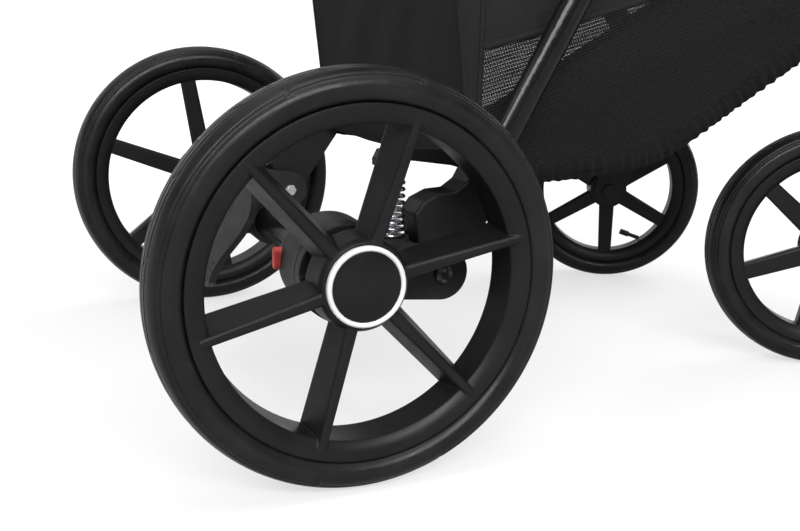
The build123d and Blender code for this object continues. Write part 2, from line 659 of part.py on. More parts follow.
def seat_base():
    wall = (SEAT_SIDE_X, SEAT_SIDE_X + SEAT_SIDE_WALL)
    base = slab(seat_board(0, SEAT_BOARD), -SEAT_SIDE_X, SEAT_SIDE_X)
    ends = disc(HINGE_Y, HINGE_Z, 26).edges() + disc(BACK_Y, BACK_Z, 14).edges()
    ends += disc(SEAT_FRONT[0] + 90, SEAT_FRONT[1] - 2, 8).edges()
    plate = make_hull(ends + disc(SEAT_REAR[0] - 10, SEAT_REAR[1] + 8, 8).edges())
    sides = slab(plate, *wall)
    sides += rod(wall[0], REAR_LEG_X - KNUCKLE_HALF - SIDE_GAP - 10, HINGE_Y, HINGE_Z, 24)
    sides += rod(SEAT_SIDE_X - 15, wall[0] + 1, BACK_Y, BACK_Z, HINGE_PIN_R)
    sides += post(BUMPER_X, BUMPER_Y, HINGE_Z - 30, BUMPER_Z - GAP, 12)
    front = SEAT_FRONT[0]
    ear = outline(
        (front + 12, SEAT_FRONT[1]), (front + 12, SEAT_FRONT[1] + SEAT_BOARD - 3),
        (FOOT_Y - 5, FOOT_Z + 7), (FOOT_Y - 7, FOOT_Z), (FOOT_Y - 3, FOOT_Z - 7),
    )
    sides += slab(ear, FOOT_HALF + 1, FOOT_HALF + 9)
    sides += rod(FOOT_HALF - 14, FOOT_HALF + 2, FOOT_Y, FOOT_Z, 4)
    base += sides + other_side(sides)
    return base - post(BUMPER_X, BUMPER_Y, BUMPER_Z - 30, BUMPER_Z, 6 + 2 * FIT)


def arched(half, tall, crown, rounding):
    """A side view with a flat foot, rounded shoulders and a crowned top."""
    low = tall - crown
    edges = Curve() + [
        Polyline((-half, low), (-half, 0), (half, 0), (half, low)),
        ThreePointArc((half, low), (0, tall), (-half, low)),
    ]
    face = make_face(edges)
    return fillet(face.vertices().sort_by(Axis.Y)[-2:], rounding)


def pad(half, long, thick):
    """A cushion lying on its foot: crowned both ways, with its sides drawn in."""
    reach = long / 2
    pull = PAD_PULL
    corners = [(half, -reach), (half, reach), (-half, reach), (-half, -reach)]
    middles = [(half - pull, 0), (0, reach - pull), (pull - half, 0), (0, pull - reach)]
    sides = Curve()
    for k, middle in enumerate(middles):
        sides += ThreePointArc(corners[k], middle, corners[(k + 1) % 4])
    plan = make_face(sides)
    plan = fillet(plan.vertices(), PAD_CORNER)
    side = arched(reach, thick, PAD_CROWN, PAD_ROUND)
    front = arched(half, thick, PAD_CROWN, PAD_ROUND)
    cushion = extrude(plan, thick)
    cushion &= extrude(Plane.YZ.offset(-half) * side, 2 * half)
    return cushion & extrude(Plane.XZ.offset(-reach) * front, long)


def seat_pad():
    run = (SEAT_FRONT[0] - SEAT_REAR[0], SEAT_FRONT[1] - SEAT_REAR[1])
    long = math.hypot(*run)
    middle = ((SEAT_REAR[0] + SEAT_FRONT[0]) / 2, (SEAT_REAR[1] + SEAT_FRONT[1]) / 2 + SEAT_BOARD)
    place = Plane(origin=(0, *middle), x_dir=(1, 0, 0), z_dir=(0, run[1], -run[0]))
    return place * pad(SEAT_SIDE_X - 12, long, SEAT_PAD_T)


def back_point(run, ahead):
    y, z = along(BACK_Y, BACK_Z, BACK_DIR, run)
    return along(y, z, BACK_OUT, ahead)


def backrest_frame():
    board = outline(
        back_point(4, -4), back_point(4, 4), back_point(BACK_LENGTH, 4), back_point(BACK_LENGTH, -4)
    )
    frame = slab(board, -BACK_HALF, BACK_HALF)
    lug = rod(SEAT_SIDE_X - 14, SEAT_SIDE_X - SIDE_GAP, BACK_Y, BACK_Z, 13)
    low = outline(back_point(0, -6), back_point(0, 8), back_point(60, 4), back_point(60, -4))
    lug += slab(low, SEAT_SIDE_X - 14, BACK_HALF)
    wing = disc(CANOPY_Y, CANOPY_Z, 18).edges()
    wing += disc(*back_point(CANOPY_ALONG - 50, 2), 3).edges()
    wing += disc(*back_point(CANOPY_ALONG + 50, 2), 3).edges()
    lug += slab(make_hull(wing), BACK_HALF - 6, BACK_HALF)
    lug += rod(BACK_HALF - 6, CANOPY_HALF + 4, CANOPY_Y, CANOPY_Z, CANOPY_PIN_R)
    lug += rod(CANOPY_HALF + GAP, CANOPY_HALF + 5, CANOPY_Y, CANOPY_Z, 14)
    collar = CANOPY_HALF - CANOPY_STEP - CANOPY_WALL - GAP
    lug += rod(BACK_HALF - 1, collar, CANOPY_Y, CANOPY_Z, 14)
    frame += lug + other_side(lug)
    pin = rod(SEAT_SIDE_X - 20, SEAT_SIDE_X, BACK_Y, BACK_Z, HINGE_PIN_R + 2 * FIT)
    return frame - pin - other_side(pin)


def backrest_pad():
    long = BACK_LENGTH - 6 - BACK_PAD_START
    place = Plane(origin=(0, *back_point(BACK_PAD_START + long / 2, 4)), x_dir=(1, 0, 0), z_dir=(0, *BACK_OUT))
    return place * pad(BACK_HALF - 12, long, BACK_PAD_T)


def canopy(radius, half, angle_low, angle_high):
    """A hood section turned about its own pivot, with rounded shoulders and side panels."""
    shoulder = 70.0
    bore = CANOPY_PIN_R + GAP
    shapes = []
    for shrink in (0, CANOPY_WALL):
        edge = half - shrink
        top = radius - shrink
        bend = shoulder - shrink
        corner = (edge - bend * (1 - math.sqrt(0.5)), top - bend * (1 - math.sqrt(0.5)))
        shapes.append((edge, top, bend, corner))
    edges = Curve()
    for edge, top, bend, corner in shapes:
        edges += [
            Line((edge, bore), (edge, top - bend)),
            ThreePointArc((edge, top - bend), corner, (edge - bend, top)),
            Line((edge - bend, top), (0, top)),
        ]
    edges += Line((half, bore), (half - CANOPY_WALL, bore))
    face = make_face(edges + mirror(edges, about=Plane.YZ))
    hood = Rot(X=angle_low) * revolve(face, Axis.X, angle_high - angle_low)
    for side in (-1, 1):
        eye = outline((half - CANOPY_WALL, bore), (half, bore), (half, 24), (half - CANOPY_WALL, 24))
        ring = revolve(eye, Axis.X)
        hood += ring if side > 0 else other_side(ring)
    return Pos(0, CANOPY_Y, CANOPY_Z) * hood


def footrest_point(run, over):
    y, z = along(FOOT_Y, FOOT_Z, FOOT_DIR, run)
    return along(y, z, (FOOT_DIR[1], -FOOT_DIR[0]), over)


def footrest():
    board = outline(
        footrest_point(0, -4), footrest_point(0, 4),
        footrest_point(FOOT_LENGTH, 4), footrest_point(FOOT_LENGTH, -4),
    )
    plate = slab(board, -FOOT_HALF, FOOT_HALF)
    plate += rod(-FOOT_HALF, FOOT_HALF, FOOT_Y, FOOT_Z, 7)
    return plate - rod(-FOOT_HALF - 1, FOOT_HALF + 1, FOOT_Y, FOOT_Z, 4 + 2 * FIT)


def footrest_pad():
    low, high = 4, 4 + FOOT_PAD_T
    end = FOOT_LENGTH - 4
    face = outline(
        footrest_point(FOOT_PAD_START, low), footrest_point(FOOT_PAD_START, high),
        footrest_point(end, high), footrest_point(end, low),
    )
    board = slab(face, 6 - FOOT_HALF, FOOT_HALF - 6)
    return fillet(board.edges(), FOOT_PAD_ROUND)


def bumper_bar():
    high = BUMPER_Z + 40
    path = FilletPolyline(
        (BUMPER_X, BUMPER_Y, BUMPER_Z), (BUMPER_X, BUMPER_Y, high),
        (BUMPER_X - 10, BUMPER_Y - 165, high + 20), (10 - BUMPER_X, BUMPER_Y - 165, high + 20),
        (-BUMPER_X, BUMPER_Y, high), (-BUMPER_X, BUMPER_Y, BUMPER_Z), radius=30,
    )
    plane = Plane(origin=path @ 0, x_dir=(1, 0, 0), z_dir=path % 0)
    bar = sweep(plane * Circle(BUMPER_R), path=path)
    return bar + post(BUMPER_X, BUMPER_Y, BUMPER_Z - 26, BUMPER_Z + 2, 6)


def rear_wheel(side, angle):
    """Tyre, rim, hub ring and hub cap of one rear wheel, in place."""
    pieces = {
        "rear_tyre": tyre(REAR_RADIUS, REAR_HALF, REAR_LIP),
        "rear_rim": rear_rim(angle),
        "rear_hub_ring": hub_ring(),
        "rear_hub_cap": hub_cap(),
    }
    if side < 0:
        pieces = {name: other_side(piece) for name, piece in pieces.items()}
    return {name: Pos(side * REAR_X, 0, REAR_RADIUS) * piece for name, piece in pieces.items()}


def front_caster(side, angle, valve_turn):
    """Fork, axle, tyre, rim and valve of one caster, turned to its resting heading."""
    hub = Pos(0, TRAIL, FRONT_RADIUS)
    pieces = {
        "caster_fork": caster_fork(),
        "front_axle": front_axle(),
        "front_tyre": hub * tyre(FRONT_RADIUS, FRONT_HALF, FRONT_LIP),
        "front_rim": hub * front_rim(angle),
        "front_valve": hub * Rot(X=valve_turn) * valve(),
    }
    place = Pos(side * SWIVEL_X, SWIVEL_Y, 0) * Rot(Z=CASTER_TURN)
    return {name: place * piece for name, piece in pieces.items()}


def pair(shape):
    return Compound(children=[shape, other_side(shape)])


def build():
    nodes = {}
    sided = {
        "front_leg": front_leg(), "fold_housing": fold_housing(), "caster_socket": caster_socket(),
        "rear_leg": rear_leg(), "leg_bracket": leg_bracket(), "swing_arm": swing_arm(),
        "spring": spring(), "brake_pin": brake_pin(), "release_button": release_button(),
        "swivel_lock": swivel_lock(), "handle_tube": handle_tube(), "fold_trigger": fold_trigger(),
    }
    for name, shape in sided.items():
        nodes[name + "_left"] = shape
        nodes[name + "_right"] = other_side(shape)
    for side, hand, rear_angle, front_angle, valve_turn in (
        (1, "_left", REAR_SPOKE_LEFT, FRONT_SPOKE_LEFT, FRONT_VALVE_LEFT),
        (-1, "_right", REAR_SPOKE_RIGHT, FRONT_SPOKE_RIGHT, FRONT_VALVE_RIGHT),
    ):
        pieces = rear_wheel(side, rear_angle) | front_caster(side, front_angle, valve_turn)
        for name, shape in pieces.items():
            nodes[name + hand] = shape
    nodes["fold_pins"] = pair(fold_pin())
    nodes["pivot_bolts"] = pair(pivot_bolt())
    nodes["stub_axles"] = pair(stub_axle())
    nodes["rear_axle_tube"] = axle_tube()
    nodes["brake_pedal"] = brake_pedal()
    nodes["front_crossbar"] = front_crossbar()
    nodes["basket"] = basket()
    nodes["handle_grip"] = handle_grip()
    nodes["seat_base"] = seat_base()
    nodes["seat_pad"] = seat_pad()
    nodes["backrest_frame"] = backrest_frame()
    nodes["backrest_pad"] = backrest_pad()
    nodes["canopy_rear"] = canopy(CANOPY_R - CANOPY_STEP, CANOPY_HALF - CANOPY_STEP, 15, 95)
    nodes["canopy_front"] = canopy(CANOPY_R, CANOPY_HALF, 85, 160)
    nodes["footrest"] = footrest()
    nodes["footrest_pad"] = footrest_pad()
    nodes["bumper_bar"] = bumper_bar()
    return nodes


def main():
    os.makedirs("parts", exist_ok=True)
    for name, shape in build().items():
        export_step(Pos(0, AXLE_Y, 0) * shape, f"parts/{name}.step")


if __name__ == "__main__":
    main()
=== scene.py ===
import bmesh
import bpy
import math
from mathutils import Matrix, Vector, noise


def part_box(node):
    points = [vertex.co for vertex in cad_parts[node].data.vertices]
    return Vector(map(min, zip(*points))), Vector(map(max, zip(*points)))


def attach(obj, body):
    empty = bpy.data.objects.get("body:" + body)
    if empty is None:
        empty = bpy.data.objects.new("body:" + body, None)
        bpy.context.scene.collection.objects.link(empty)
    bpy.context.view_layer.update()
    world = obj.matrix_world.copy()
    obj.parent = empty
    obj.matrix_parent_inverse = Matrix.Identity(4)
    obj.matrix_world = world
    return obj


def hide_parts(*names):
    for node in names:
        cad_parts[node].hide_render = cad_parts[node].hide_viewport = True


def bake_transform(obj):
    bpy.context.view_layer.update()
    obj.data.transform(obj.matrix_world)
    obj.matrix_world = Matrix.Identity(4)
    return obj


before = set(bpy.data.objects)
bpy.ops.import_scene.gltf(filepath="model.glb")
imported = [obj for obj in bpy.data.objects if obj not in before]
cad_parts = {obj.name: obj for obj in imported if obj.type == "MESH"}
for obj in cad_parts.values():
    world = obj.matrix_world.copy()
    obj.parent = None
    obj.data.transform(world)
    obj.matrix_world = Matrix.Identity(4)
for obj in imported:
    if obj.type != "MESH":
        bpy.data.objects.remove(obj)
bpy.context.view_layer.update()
tyre_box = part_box("rear_tyre_left")
AXLE = (tyre_box[0][1] + tyre_box[1][1]) / 2

SIDE = Vector((1, 0, 0))
UP = Vector((0, 0, 1))
HANDS = (("left", 1), ("right", -1))


def at(x, y, z):
    """A point given in millimetres, with Y from the rear axle."""
    return Vector((x / 1000, y / 1000 + AXLE, z / 1000))


# Materials

WAVE_PERIOD = math.tau / 20  # a wave texture's own pitch at scale 1
NET_HOLE, NET_ROW, NET_STAGGER, NET_SLANT = (0.0011, 0.0014), 0.0023, 0.0034, -0.3
BOLT_SPLIT = 0.008  # from a bolt's outer end to where its finish changes


class Shader:
    """One procedural material, built node by node in the piece's own coordinates."""

    def __init__(self, name, **values):
        self.material = bpy.data.materials.new(name)
        self.material.use_nodes = True
        self.tree = self.material.node_tree
        self.tree.nodes.clear()
        self.output = self.add("ShaderNodeOutputMaterial")
        self.skin = self.add("ShaderNodeBsdfPrincipled")
        for socket, value in values.items():
            self.skin.inputs[socket.replace("_", " ")].default_value = value
        self.join(self.skin.outputs[0], self.output.inputs[0])
        self.place = self.add("ShaderNodeTexCoord").outputs["Object"]
        self.normal = None

    def join(self, source, target):
        self.tree.links.new(source, target)

    def add(self, kind, inputs=None, **settings):
        node = self.tree.nodes.new(kind)
        for key, value in settings.items():
            setattr(node, key, value)
        for key, value in (inputs or {}).items():
            if isinstance(value, bpy.types.NodeSocket):
                self.join(value, node.inputs[key])
            else:
                node.inputs[key].default_value = value
        return node

    def noise(self, size, detail=2.0, where=None):
        inputs = {"Vector": where or self.place, "Scale": 1 / size, "Detail": detail}
        return self.add("ShaderNodeTexNoise", inputs).outputs[0]

    def cells(self, size, feature="F1"):
        inputs = {"Vector": self.place, "Scale": 1 / size}
        return self.add("ShaderNodeTexVoronoi", inputs, feature=feature).outputs["Distance"]

    def bands(self, pitch, where, direction):
        inputs = {"Vector": where, "Scale": WAVE_PERIOD / pitch}
        return self.add("ShaderNodeTexWave", inputs, bands_direction=direction).outputs[1]

    def sum(self, operation, a, b):
        """Any two-value sum of the maths node."""
        return self.add("ShaderNodeMath", {0: a, 1: b}, operation=operation).outputs[0]

    def spread(self, value, low, high, start=0.3, end=0.7):
        """Takes the range from start to end onto low to high; the usual range is a noise's."""
        inputs = {0: value, 1: start, 2: end, 3: low, 4: high}
        return self.add("ShaderNodeMapRange", inputs).outputs[0]

    def colour(self, value, dark, light):
        mix = self.add("ShaderNodeMix", {0: value}, data_type="RGBA")
        mix.inputs[6].default_value = (*dark, 1)
        mix.inputs[7].default_value = (*light, 1)
        self.join(mix.outputs[2], self.skin.inputs["Base Color"])

    def rough(self, value, low, high):
        self.join(self.spread(value, low, high), self.skin.inputs["Roughness"])

    def soften(self, radius):
        """Rounded edges, and the mask of where they are."""
        bevel = self.add("ShaderNodeBevel", {"Radius": radius}, samples=4).outputs[0]
        flat = self.add("ShaderNodeNewGeometry").outputs["Normal"]
        both = {0: bevel, 1: flat}
        same = self.add("ShaderNodeVectorMath", both, operation="DOT_PRODUCT").outputs["Value"]
        self.set_normal(bevel)
        return self.spread(same, 1.0, 0.0, 0.86, 0.995)

    def set_normal(self, socket):
        self.normal = socket
        self.join(socket, self.skin.inputs["Normal"])

    def bump(self, height, depth, strength=1.0):
        inputs = {"Height": height, "Distance": depth, "Strength": strength}
        if self.normal:
            inputs["Normal"] = self.normal
        self.set_normal(self.add("ShaderNodeBump", inputs).outputs[0])

    def weave(self, pitch, where):
        """Over and under threads of a plain weave, from 0 to 1."""
        warp = self.bands(pitch, where, "X")
        weft = self.bands(pitch, where, "Y")
        return self.sum("MULTIPLY", warp, weft)


def grey(value, warmth=0.0):
    """A grey that leans a little to blue, or to red as the warmth grows."""
    return (value * (1 + warmth), value, value * (1 + 0.06 - warmth))


def moulded(name, dark, light, rough, grain, depth, edge=0.0007, worn=0.06, **values):
    """Moulded plastic: a fine eroded grain, cloudy gloss and paler worn edges."""
    s = Shader(name, **values)
    mask = s.soften(edge)
    cloud = s.noise(0.045, 3.0)
    fine = s.noise(grain, 1.0)
    rub = s.sum("MULTIPLY", mask, s.spread(s.noise(0.012, 3.0), 0.0, worn))
    tone = s.sum("ADD", s.spread(cloud, 0.0, 0.8), rub)
    s.colour(tone, dark, light)
    s.rough(s.noise(0.02, 4.0), *rough)
    s.bump(fine, depth)
    return s.material


def rubber():
    """Dusty tyre rubber, cloudy and slightly uneven."""
    s = Shader("tyre_rubber", Specular_IOR_Level=0.25)
    cloud = s.noise(0.03, 4.0)
    s.colour(s.spread(cloud, 0.0, 1.0), grey(0.006, 0.03), grey(0.014, 0.03))
    s.rough(s.noise(0.014, 4.0), 0.25, 0.38)
    s.bump(s.noise(0.006, 3.0), 0.0003, 0.5)
    s.bump(s.noise(0.0009, 1.0), 0.00006)
    return s.material


def metal(name, value, rough, grain):
    """Bright metal with fine marks and uneven polish."""
    s = Shader(name, Metallic=1.0)
    s.soften(0.0004)
    s.colour(s.spread(s.noise(0.009, 4.0), 0.0, 1.0), grey(value * 0.8), grey(value))
    s.rough(s.noise(0.004, 3.0), *rough)
    s.bump(s.noise(grain, 2.0), 0.00004)
    return s.material


def leather(name, dark, light):
    """Grained leather cloth: cells with creases between them, and pores."""
    s = Shader(name, Specular_IOR_Level=0.25, Sheen_Weight=0.05)
    cell = s.cells(0.0022, "DISTANCE_TO_EDGE")
    pore = s.cells(0.0009)
    s.colour(s.spread(s.noise(0.02, 4.0), 0.0, 1.0), dark, light)
    s.rough(s.noise(0.006, 3.0), 0.42, 0.58)
    s.bump(s.spread(cell, 0.0, 1.0, 0.0, 0.18), 0.00022)
    s.bump(pore, 0.00008)
    return s.material


def cloth(name, dark, light, pitch, depth, sheen, flat=False):
    """Woven cloth. A flat piece weaves along its own cut, other pieces along three axes."""
    s = Shader(
        name, Roughness=0.9, Specular_IOR_Level=0.12, Sheen_Weight=sheen, Sheen_Roughness=0.5
    )
    if flat:
        place = s.add("ShaderNodeTexCoord").outputs["UV"]
        thread = s.weave(pitch, place)
    else:
        place = s.place
        tilted = {"Vector": place, "Rotation": (0.6, 0.35, 0.5)}
        turn = s.add("ShaderNodeMapping", tilted).outputs[0]
        thread = s.sum("MULTIPLY", s.weave(pitch, turn), s.bands(pitch, turn, "Z"))
    fleck = s.noise(pitch * 1.7, 2.0, place)
    cloud = s.noise(0.05, 3.0)
    tone = s.sum("ADD", s.spread(fleck, 0.0, 0.6), s.spread(cloud, 0.0, 0.3))
    s.colour(s.sum("ADD", tone, s.sum("MULTIPLY", thread, 0.25)), dark, light)
    s.bump(thread, depth)
    s.bump(fleck, depth * 0.6)
    return s.material


def netting(name, dark, light):
    """Knitted mesh: fine open holes, larger and smaller row by row along a slant."""
    s = Shader(name, Roughness=0.75, Specular_IOR_Level=0.15, Sheen_Weight=0.03)
    place = s.add("ShaderNodeTexCoord").outputs["UV"]
    turned = {"Vector": place, "Rotation": (0, 0, NET_SLANT)}
    slant = s.add("ShaderNodeMapping", turned).outputs[0]
    size = (1 / NET_HOLE[0], 1 / NET_HOLE[1], 1.0)
    fine = s.add("ShaderNodeMapping", {"Vector": slant, "Scale": size}).outputs[0]
    grid = {"Vector": fine, "Scale": 1.0, "Randomness": 0.0}
    hole = s.add("ShaderNodeTexVoronoi", grid).outputs["Distance"]
    row = s.bands(NET_ROW, slant, "Y")
    stagger = s.bands(NET_STAGGER, slant, "X")
    knit = s.sum("MULTIPLY", row, s.spread(stagger, 0.7, 1.0, 0.0, 1.0))
    fleck = s.spread(s.noise(0.004, 2.0, place), -0.15, 0.15)
    s.colour(s.sum("ADD", knit, fleck), dark, light)
    s.bump(hole, 0.0004)
    s.bump(knit, 0.0005)
    open_part = s.sum("LESS_THAN", hole, s.spread(knit, 0.30, 0.20, 0.0, 1.0))
    clear = s.add("ShaderNodeBsdfTransparent").outputs[0]
    layers = {0: open_part, 1: s.skin.outputs[0], 2: clear}
    s.join(s.add("ShaderNodeMixShader", layers).outputs[0], s.output.inputs[0])
    return s.material


def webbing():
    """Ribbed strap webbing, woven along the strap."""
    s = Shader("webbing", Roughness=0.8, Specular_IOR_Level=0.3, Sheen_Weight=0.15)
    place = s.add("ShaderNodeTexCoord").outputs["UV"]
    rib = s.bands(0.0016, place, "Y")
    cross = s.bands(0.0011, place, "X")
    thread = s.sum("MULTIPLY", rib, s.sum("ADD", cross, 0.4))
    tone = s.sum("ADD", s.sum("MULTIPLY", thread, 0.5), s.spread(s.noise(0.01), 0.0, 0.4))
    s.colour(tone, grey(0.012), grey(0.03))
    s.bump(thread, 0.0003)
    return s.material


BLACK = moulded(
    "black_plastic", grey(0.012, 0.03), grey(0.021, 0.03), (0.36, 0.50), 0.0011, 0.00007,
    Specular_IOR_Level=0.2,
)
RIM = moulded(
    "rim_plastic", grey(0.007, 0.04), grey(0.012, 0.04), (0.31, 0.42), 0.0010, 0.00006,
    edge=0.0022, Specular_IOR_Level=0.21,
)
GREY = moulded(
    "grey_plastic", grey(0.020, 0.03), grey(0.033, 0.03), (0.42, 0.55), 0.0012, 0.00008,
    edge=0.001, Specular_IOR_Level=0.22,
)
GLOSS = moulded(
    "gloss_black", grey(0.008, 0.03), grey(0.012, 0.03), (0.20, 0.30), 0.004, 0.00003,
    Specular_IOR_Level=0.17,
)
RED = moulded(
    "red_plastic", (0.60, 0.055, 0.048), (0.74, 0.085, 0.072), (0.35, 0.48), 0.001, 0.00005,
    worn=0.1,
)
PAINT = moulded(
    "frame_paint", grey(0.006, 0.03), grey(0.010, 0.03), (0.13, 0.20), 0.0016, 0.000012,
    Specular_IOR_Level=0.2, Coat_Weight=0.06, Coat_Roughness=0.08,
)
TRIM = moulded(
    "silver_trim", (0.80, 0.80, 0.79), (0.88, 0.88, 0.87), (0.25, 0.35), 0.003, 0.00002,
    worn=0.0,
)


def bolts():
    """Pivot bolts with blackened heads on the outside and bright nuts on the inside."""
    s = Shader("pivot_bolt_steel", Metallic=1.0)
    s.soften(0.0005)
    across = s.add("ShaderNodeSeparateXYZ", {0: s.place}).outputs["X"]
    from_middle = s.sum("ABSOLUTE", across, 0.0)
    outside = s.spread(from_middle, 0.0, 1.0, BOLT_MIDDLE - 0.002, BOLT_MIDDLE + 0.002)
    tone = s.sum("ADD", outside, s.spread(s.noise(0.004, 3.0), -0.12, 0.12))
    s.colour(tone, grey(0.62), grey(0.02))
    s.rough(s.noise(0.004, 3.0), 0.26, 0.40)
    s.bump(s.noise(0.0006, 2.0), 0.00004)
    return s.material


bolt_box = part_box("pivot_bolts")
BOLT_MIDDLE = bolt_box[1][0] - BOLT_SPLIT
STEEL = metal("steel", 0.62, (0.22, 0.36), 0.0006)
SPRING = metal("spring_steel", 0.74, (0.12, 0.24), 0.0005)
RUBBER = rubber()
LEATHER = leather("grip_leather", grey(0.014), grey(0.026))
BASKET = cloth("basket_cloth", grey(0.013), grey(0.026), 0.0012, 0.00022, 0.02, flat=True)
NET = netting("basket_net", grey(0.002), grey(0.020))
HEM = cloth("hem_cloth", grey(0.005), grey(0.011), 0.0012, 0.00022, 0.02, flat=True)
SEAT = cloth("seat_cloth", grey(0.022), grey(0.05), 0.0014, 0.0003, 0.2)
HOOD = cloth("hood_cloth", grey(0.013), grey(0.026), 0.0013, 0.00022, 0.12, flat=True)
STRAP = webbing()
THREAD = cloth("thread", grey(0.05), grey(0.11), 0.0006, 0.0001, 0.1)

FINISH = {
    "rear_rim": RIM, "front_rim": RIM, "rear_hub_ring": TRIM, "rear_hub_cap": GLOSS,
    "front_valve": BLACK, "swing_arm": GREY, "brake_pedal": GREY, "release_button": RED,
    "leg_bracket": BLACK, "spring": SPRING, "pivot_bolts": bolts(), "stub_axles": STEEL,
    "brake_pin": STEEL, "front_axle": BLACK, "fold_pins": BLACK, "rear_leg": PAINT,
    "front_leg": PAINT, "handle_tube": PAINT, "front_crossbar": PAINT, "rear_axle_tube": PAINT,
    "fold_housing": BLACK, "caster_socket": BLACK, "caster_fork": BLACK, "swivel_lock": GREY,
    "fold_trigger": GREY, "seat_base": BLACK, "backrest_frame": BLACK, "footrest": BLACK,
    "handle_grip": LEATHER, "bumper_bar": LEATHER, "rear_tyre": RUBBER, "front_tyre": RUBBER,
    "basket": BASKET, "seat_pad": SEAT, "backrest_pad": SEAT, "footrest_pad": SEAT,
    "canopy_rear": HOOD, "canopy_front": HOOD,
}
for node_name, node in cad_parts.items():
    kind = node_name.removesuffix("_left").removesuffix("_right")
    node.data.materials.clear()
    node.data.materials.append(FINISH[kind])


# Mesh helpers


def piece(name, points, faces, materials, body, uvs=None, slots=None):
    """A smooth mesh piece that rides on a body."""
    mesh = bpy.data.meshes.new(name)
    mesh.from_pydata(points, [], faces)
    for material in materials:
        mesh.materials.append(material)
    if uvs:
        layer = mesh.uv_layers.new(name="cut")
        for loop in mesh.loops:
            layer.data[loop.index].uv = uvs[loop.vertex_index]
    for face in mesh.polygons:
        face.use_smooth = True
        if slots:
            face.material_index = slots[face.index]
    obj = bpy.data.objects.new(name, mesh)
    bpy.context.scene.collection.objects.link(obj)
    if body:
        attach(obj, body)
    return obj


def rows_to_faces(rows, columns, wrap_rows=False, wrap_columns=False):
    """Quads between rows of points, joined round where asked."""
    faces = []
    for i in range(rows if wrap_rows else rows - 1):
        for j in range(columns if wrap_columns else columns - 1):
            a, b = i * columns + j, i * columns + (j + 1) % columns
            ahead = ((i + 1) % rows) * columns
            c, d = ahead + (j + 1) % columns, ahead + j
            faces.append((a, b, c, d))
    return faces


def smooth_line(points, rounds=3):
    """Corner cutting that keeps the two ends."""
    points = [Vector(p) for p in points]
    for _ in range(rounds):
        cut = [points[0]]
        for a, b in zip(points, points[1:]):
            cut += [a.lerp(b, 0.25), a.lerp(b, 0.75)]
        points = cut + [points[-1]]
    return points


def even(points, count):
    """The same line with evenly spaced points."""
    runs = [0.0]
    for a, b in zip(points, points[1:]):
        runs.append(runs[-1] + (b - a).length)
    made, k = [], 0
    for i in range(count):
        want = runs[-1] * i / (count - 1)
        while k < len(points) - 2 and runs[k + 1] < want:
            k += 1
        share = (want - runs[k]) / max(runs[k + 1] - runs[k], 1e-9)
        made.append(points[k].lerp(points[k + 1], min(max(share, 0.0), 1.0)))
    return made


def length_of(points):
    return sum((b - a).length for a, b in zip(points, points[1:]))


def tube(name, path, wide, deep, up, material, body, sides=10, ripple=None, closed=False):
    """An oval tube along a path; wide is across the given up direction, deep along it."""
    points, uvs = [], []
    run = 0.0
    count = len(path)
    for i, place in enumerate(path):
        before = path[i - 1] if i or closed else place
        after = path[(i + 1) % count] if i < count - 1 or closed else place
        heading = (after - before).normalized()
        across = heading.cross(up(place) if callable(up) else up).normalized()
        rise = across.cross(heading).normalized()
        if i:
            run += (place - path[i - 1]).length
        swell, shift = ripple(run) if ripple else (1.0, 0.0)
        for k in range(sides):
            angle = math.tau * k / sides
            out = across * (math.cos(angle) * wide * swell + shift)
            points.append(place + (out + rise * (math.sin(angle) * deep * swell)))
            uvs.append((run, k / sides * math.pi * (wide + deep)))
    faces = rows_to_faces(count, sides, closed, True)
    if not closed:
        faces.append(tuple(range(sides))[::-1])
        faces.append(tuple((count - 1) * sides + k for k in range(sides)))
    return piece(name, points, faces, [material], body, uvs)


STITCH, STITCH_GAP, THREAD_HALF = 0.0032, 0.0018, 0.0005
STITCH_FACES = (
    (0, 2, 4), (0, 4, 3), (0, 3, 5), (0, 5, 2), (1, 4, 2), (1, 3, 4), (1, 5, 3), (1, 2, 5),
)


def stitches(name, path, up, body):
    """A row of sewn stitches along a path, lying on the surface that faces up."""
    count = max(int(length_of(path) / (STITCH + STITCH_GAP)), 1)
    line = even(path, 2 * count + 1)
    points, faces = [], []
    for i in range(count):
        start, end = line[2 * i], line[2 * i + 1]
        heading = (end - start).normalized()
        base = len(points)
        middle = (start + end) / 2
        half = heading * STITCH / 2
        side = heading.cross(up).normalized() * THREAD_HALF
        rise = up * THREAD_HALF
        points += [
            middle - half, middle + half, middle + side, middle - side, middle + rise, middle - rise,
        ]
        for a, b, c in STITCH_FACES:
            faces.append((base + a, base + b, base + c))
    made = piece(name, points, faces, [THREAD], body)


# Tyres. A groove is its place and half width as shares of the tyre's half width, and its depth in mm.

GROOVES = ((0.14, 0.030, 0.8), (0.40, 0.030, 0.6), (0.845, 0.022, 0.9))
SHOULDER = (0.925, 0.020, 0.8)
PANEL = (67.0, 105.0)  # degrees where the shoulder groove stops for a plain panel
PANEL_INNER, PANEL_SLANT, PANEL_CUT = 0.60, 4.0, (0.55, 0.9)
BLOCK_PITCH, BLOCK_SLANT, BLOCK_CUT = 22.5, 8.0, (8.0, 0.6, 0.6)
TREAD_END = 0.6  # share of the section's height that the tread reaches down
PROFILE_POINTS, TYRE_STEPS = 1001, 600
FINE_STEP, COARSE_STEP = 0.24, 1.5
BEAD_INSET, BEAD_DROP = 9, 2.4


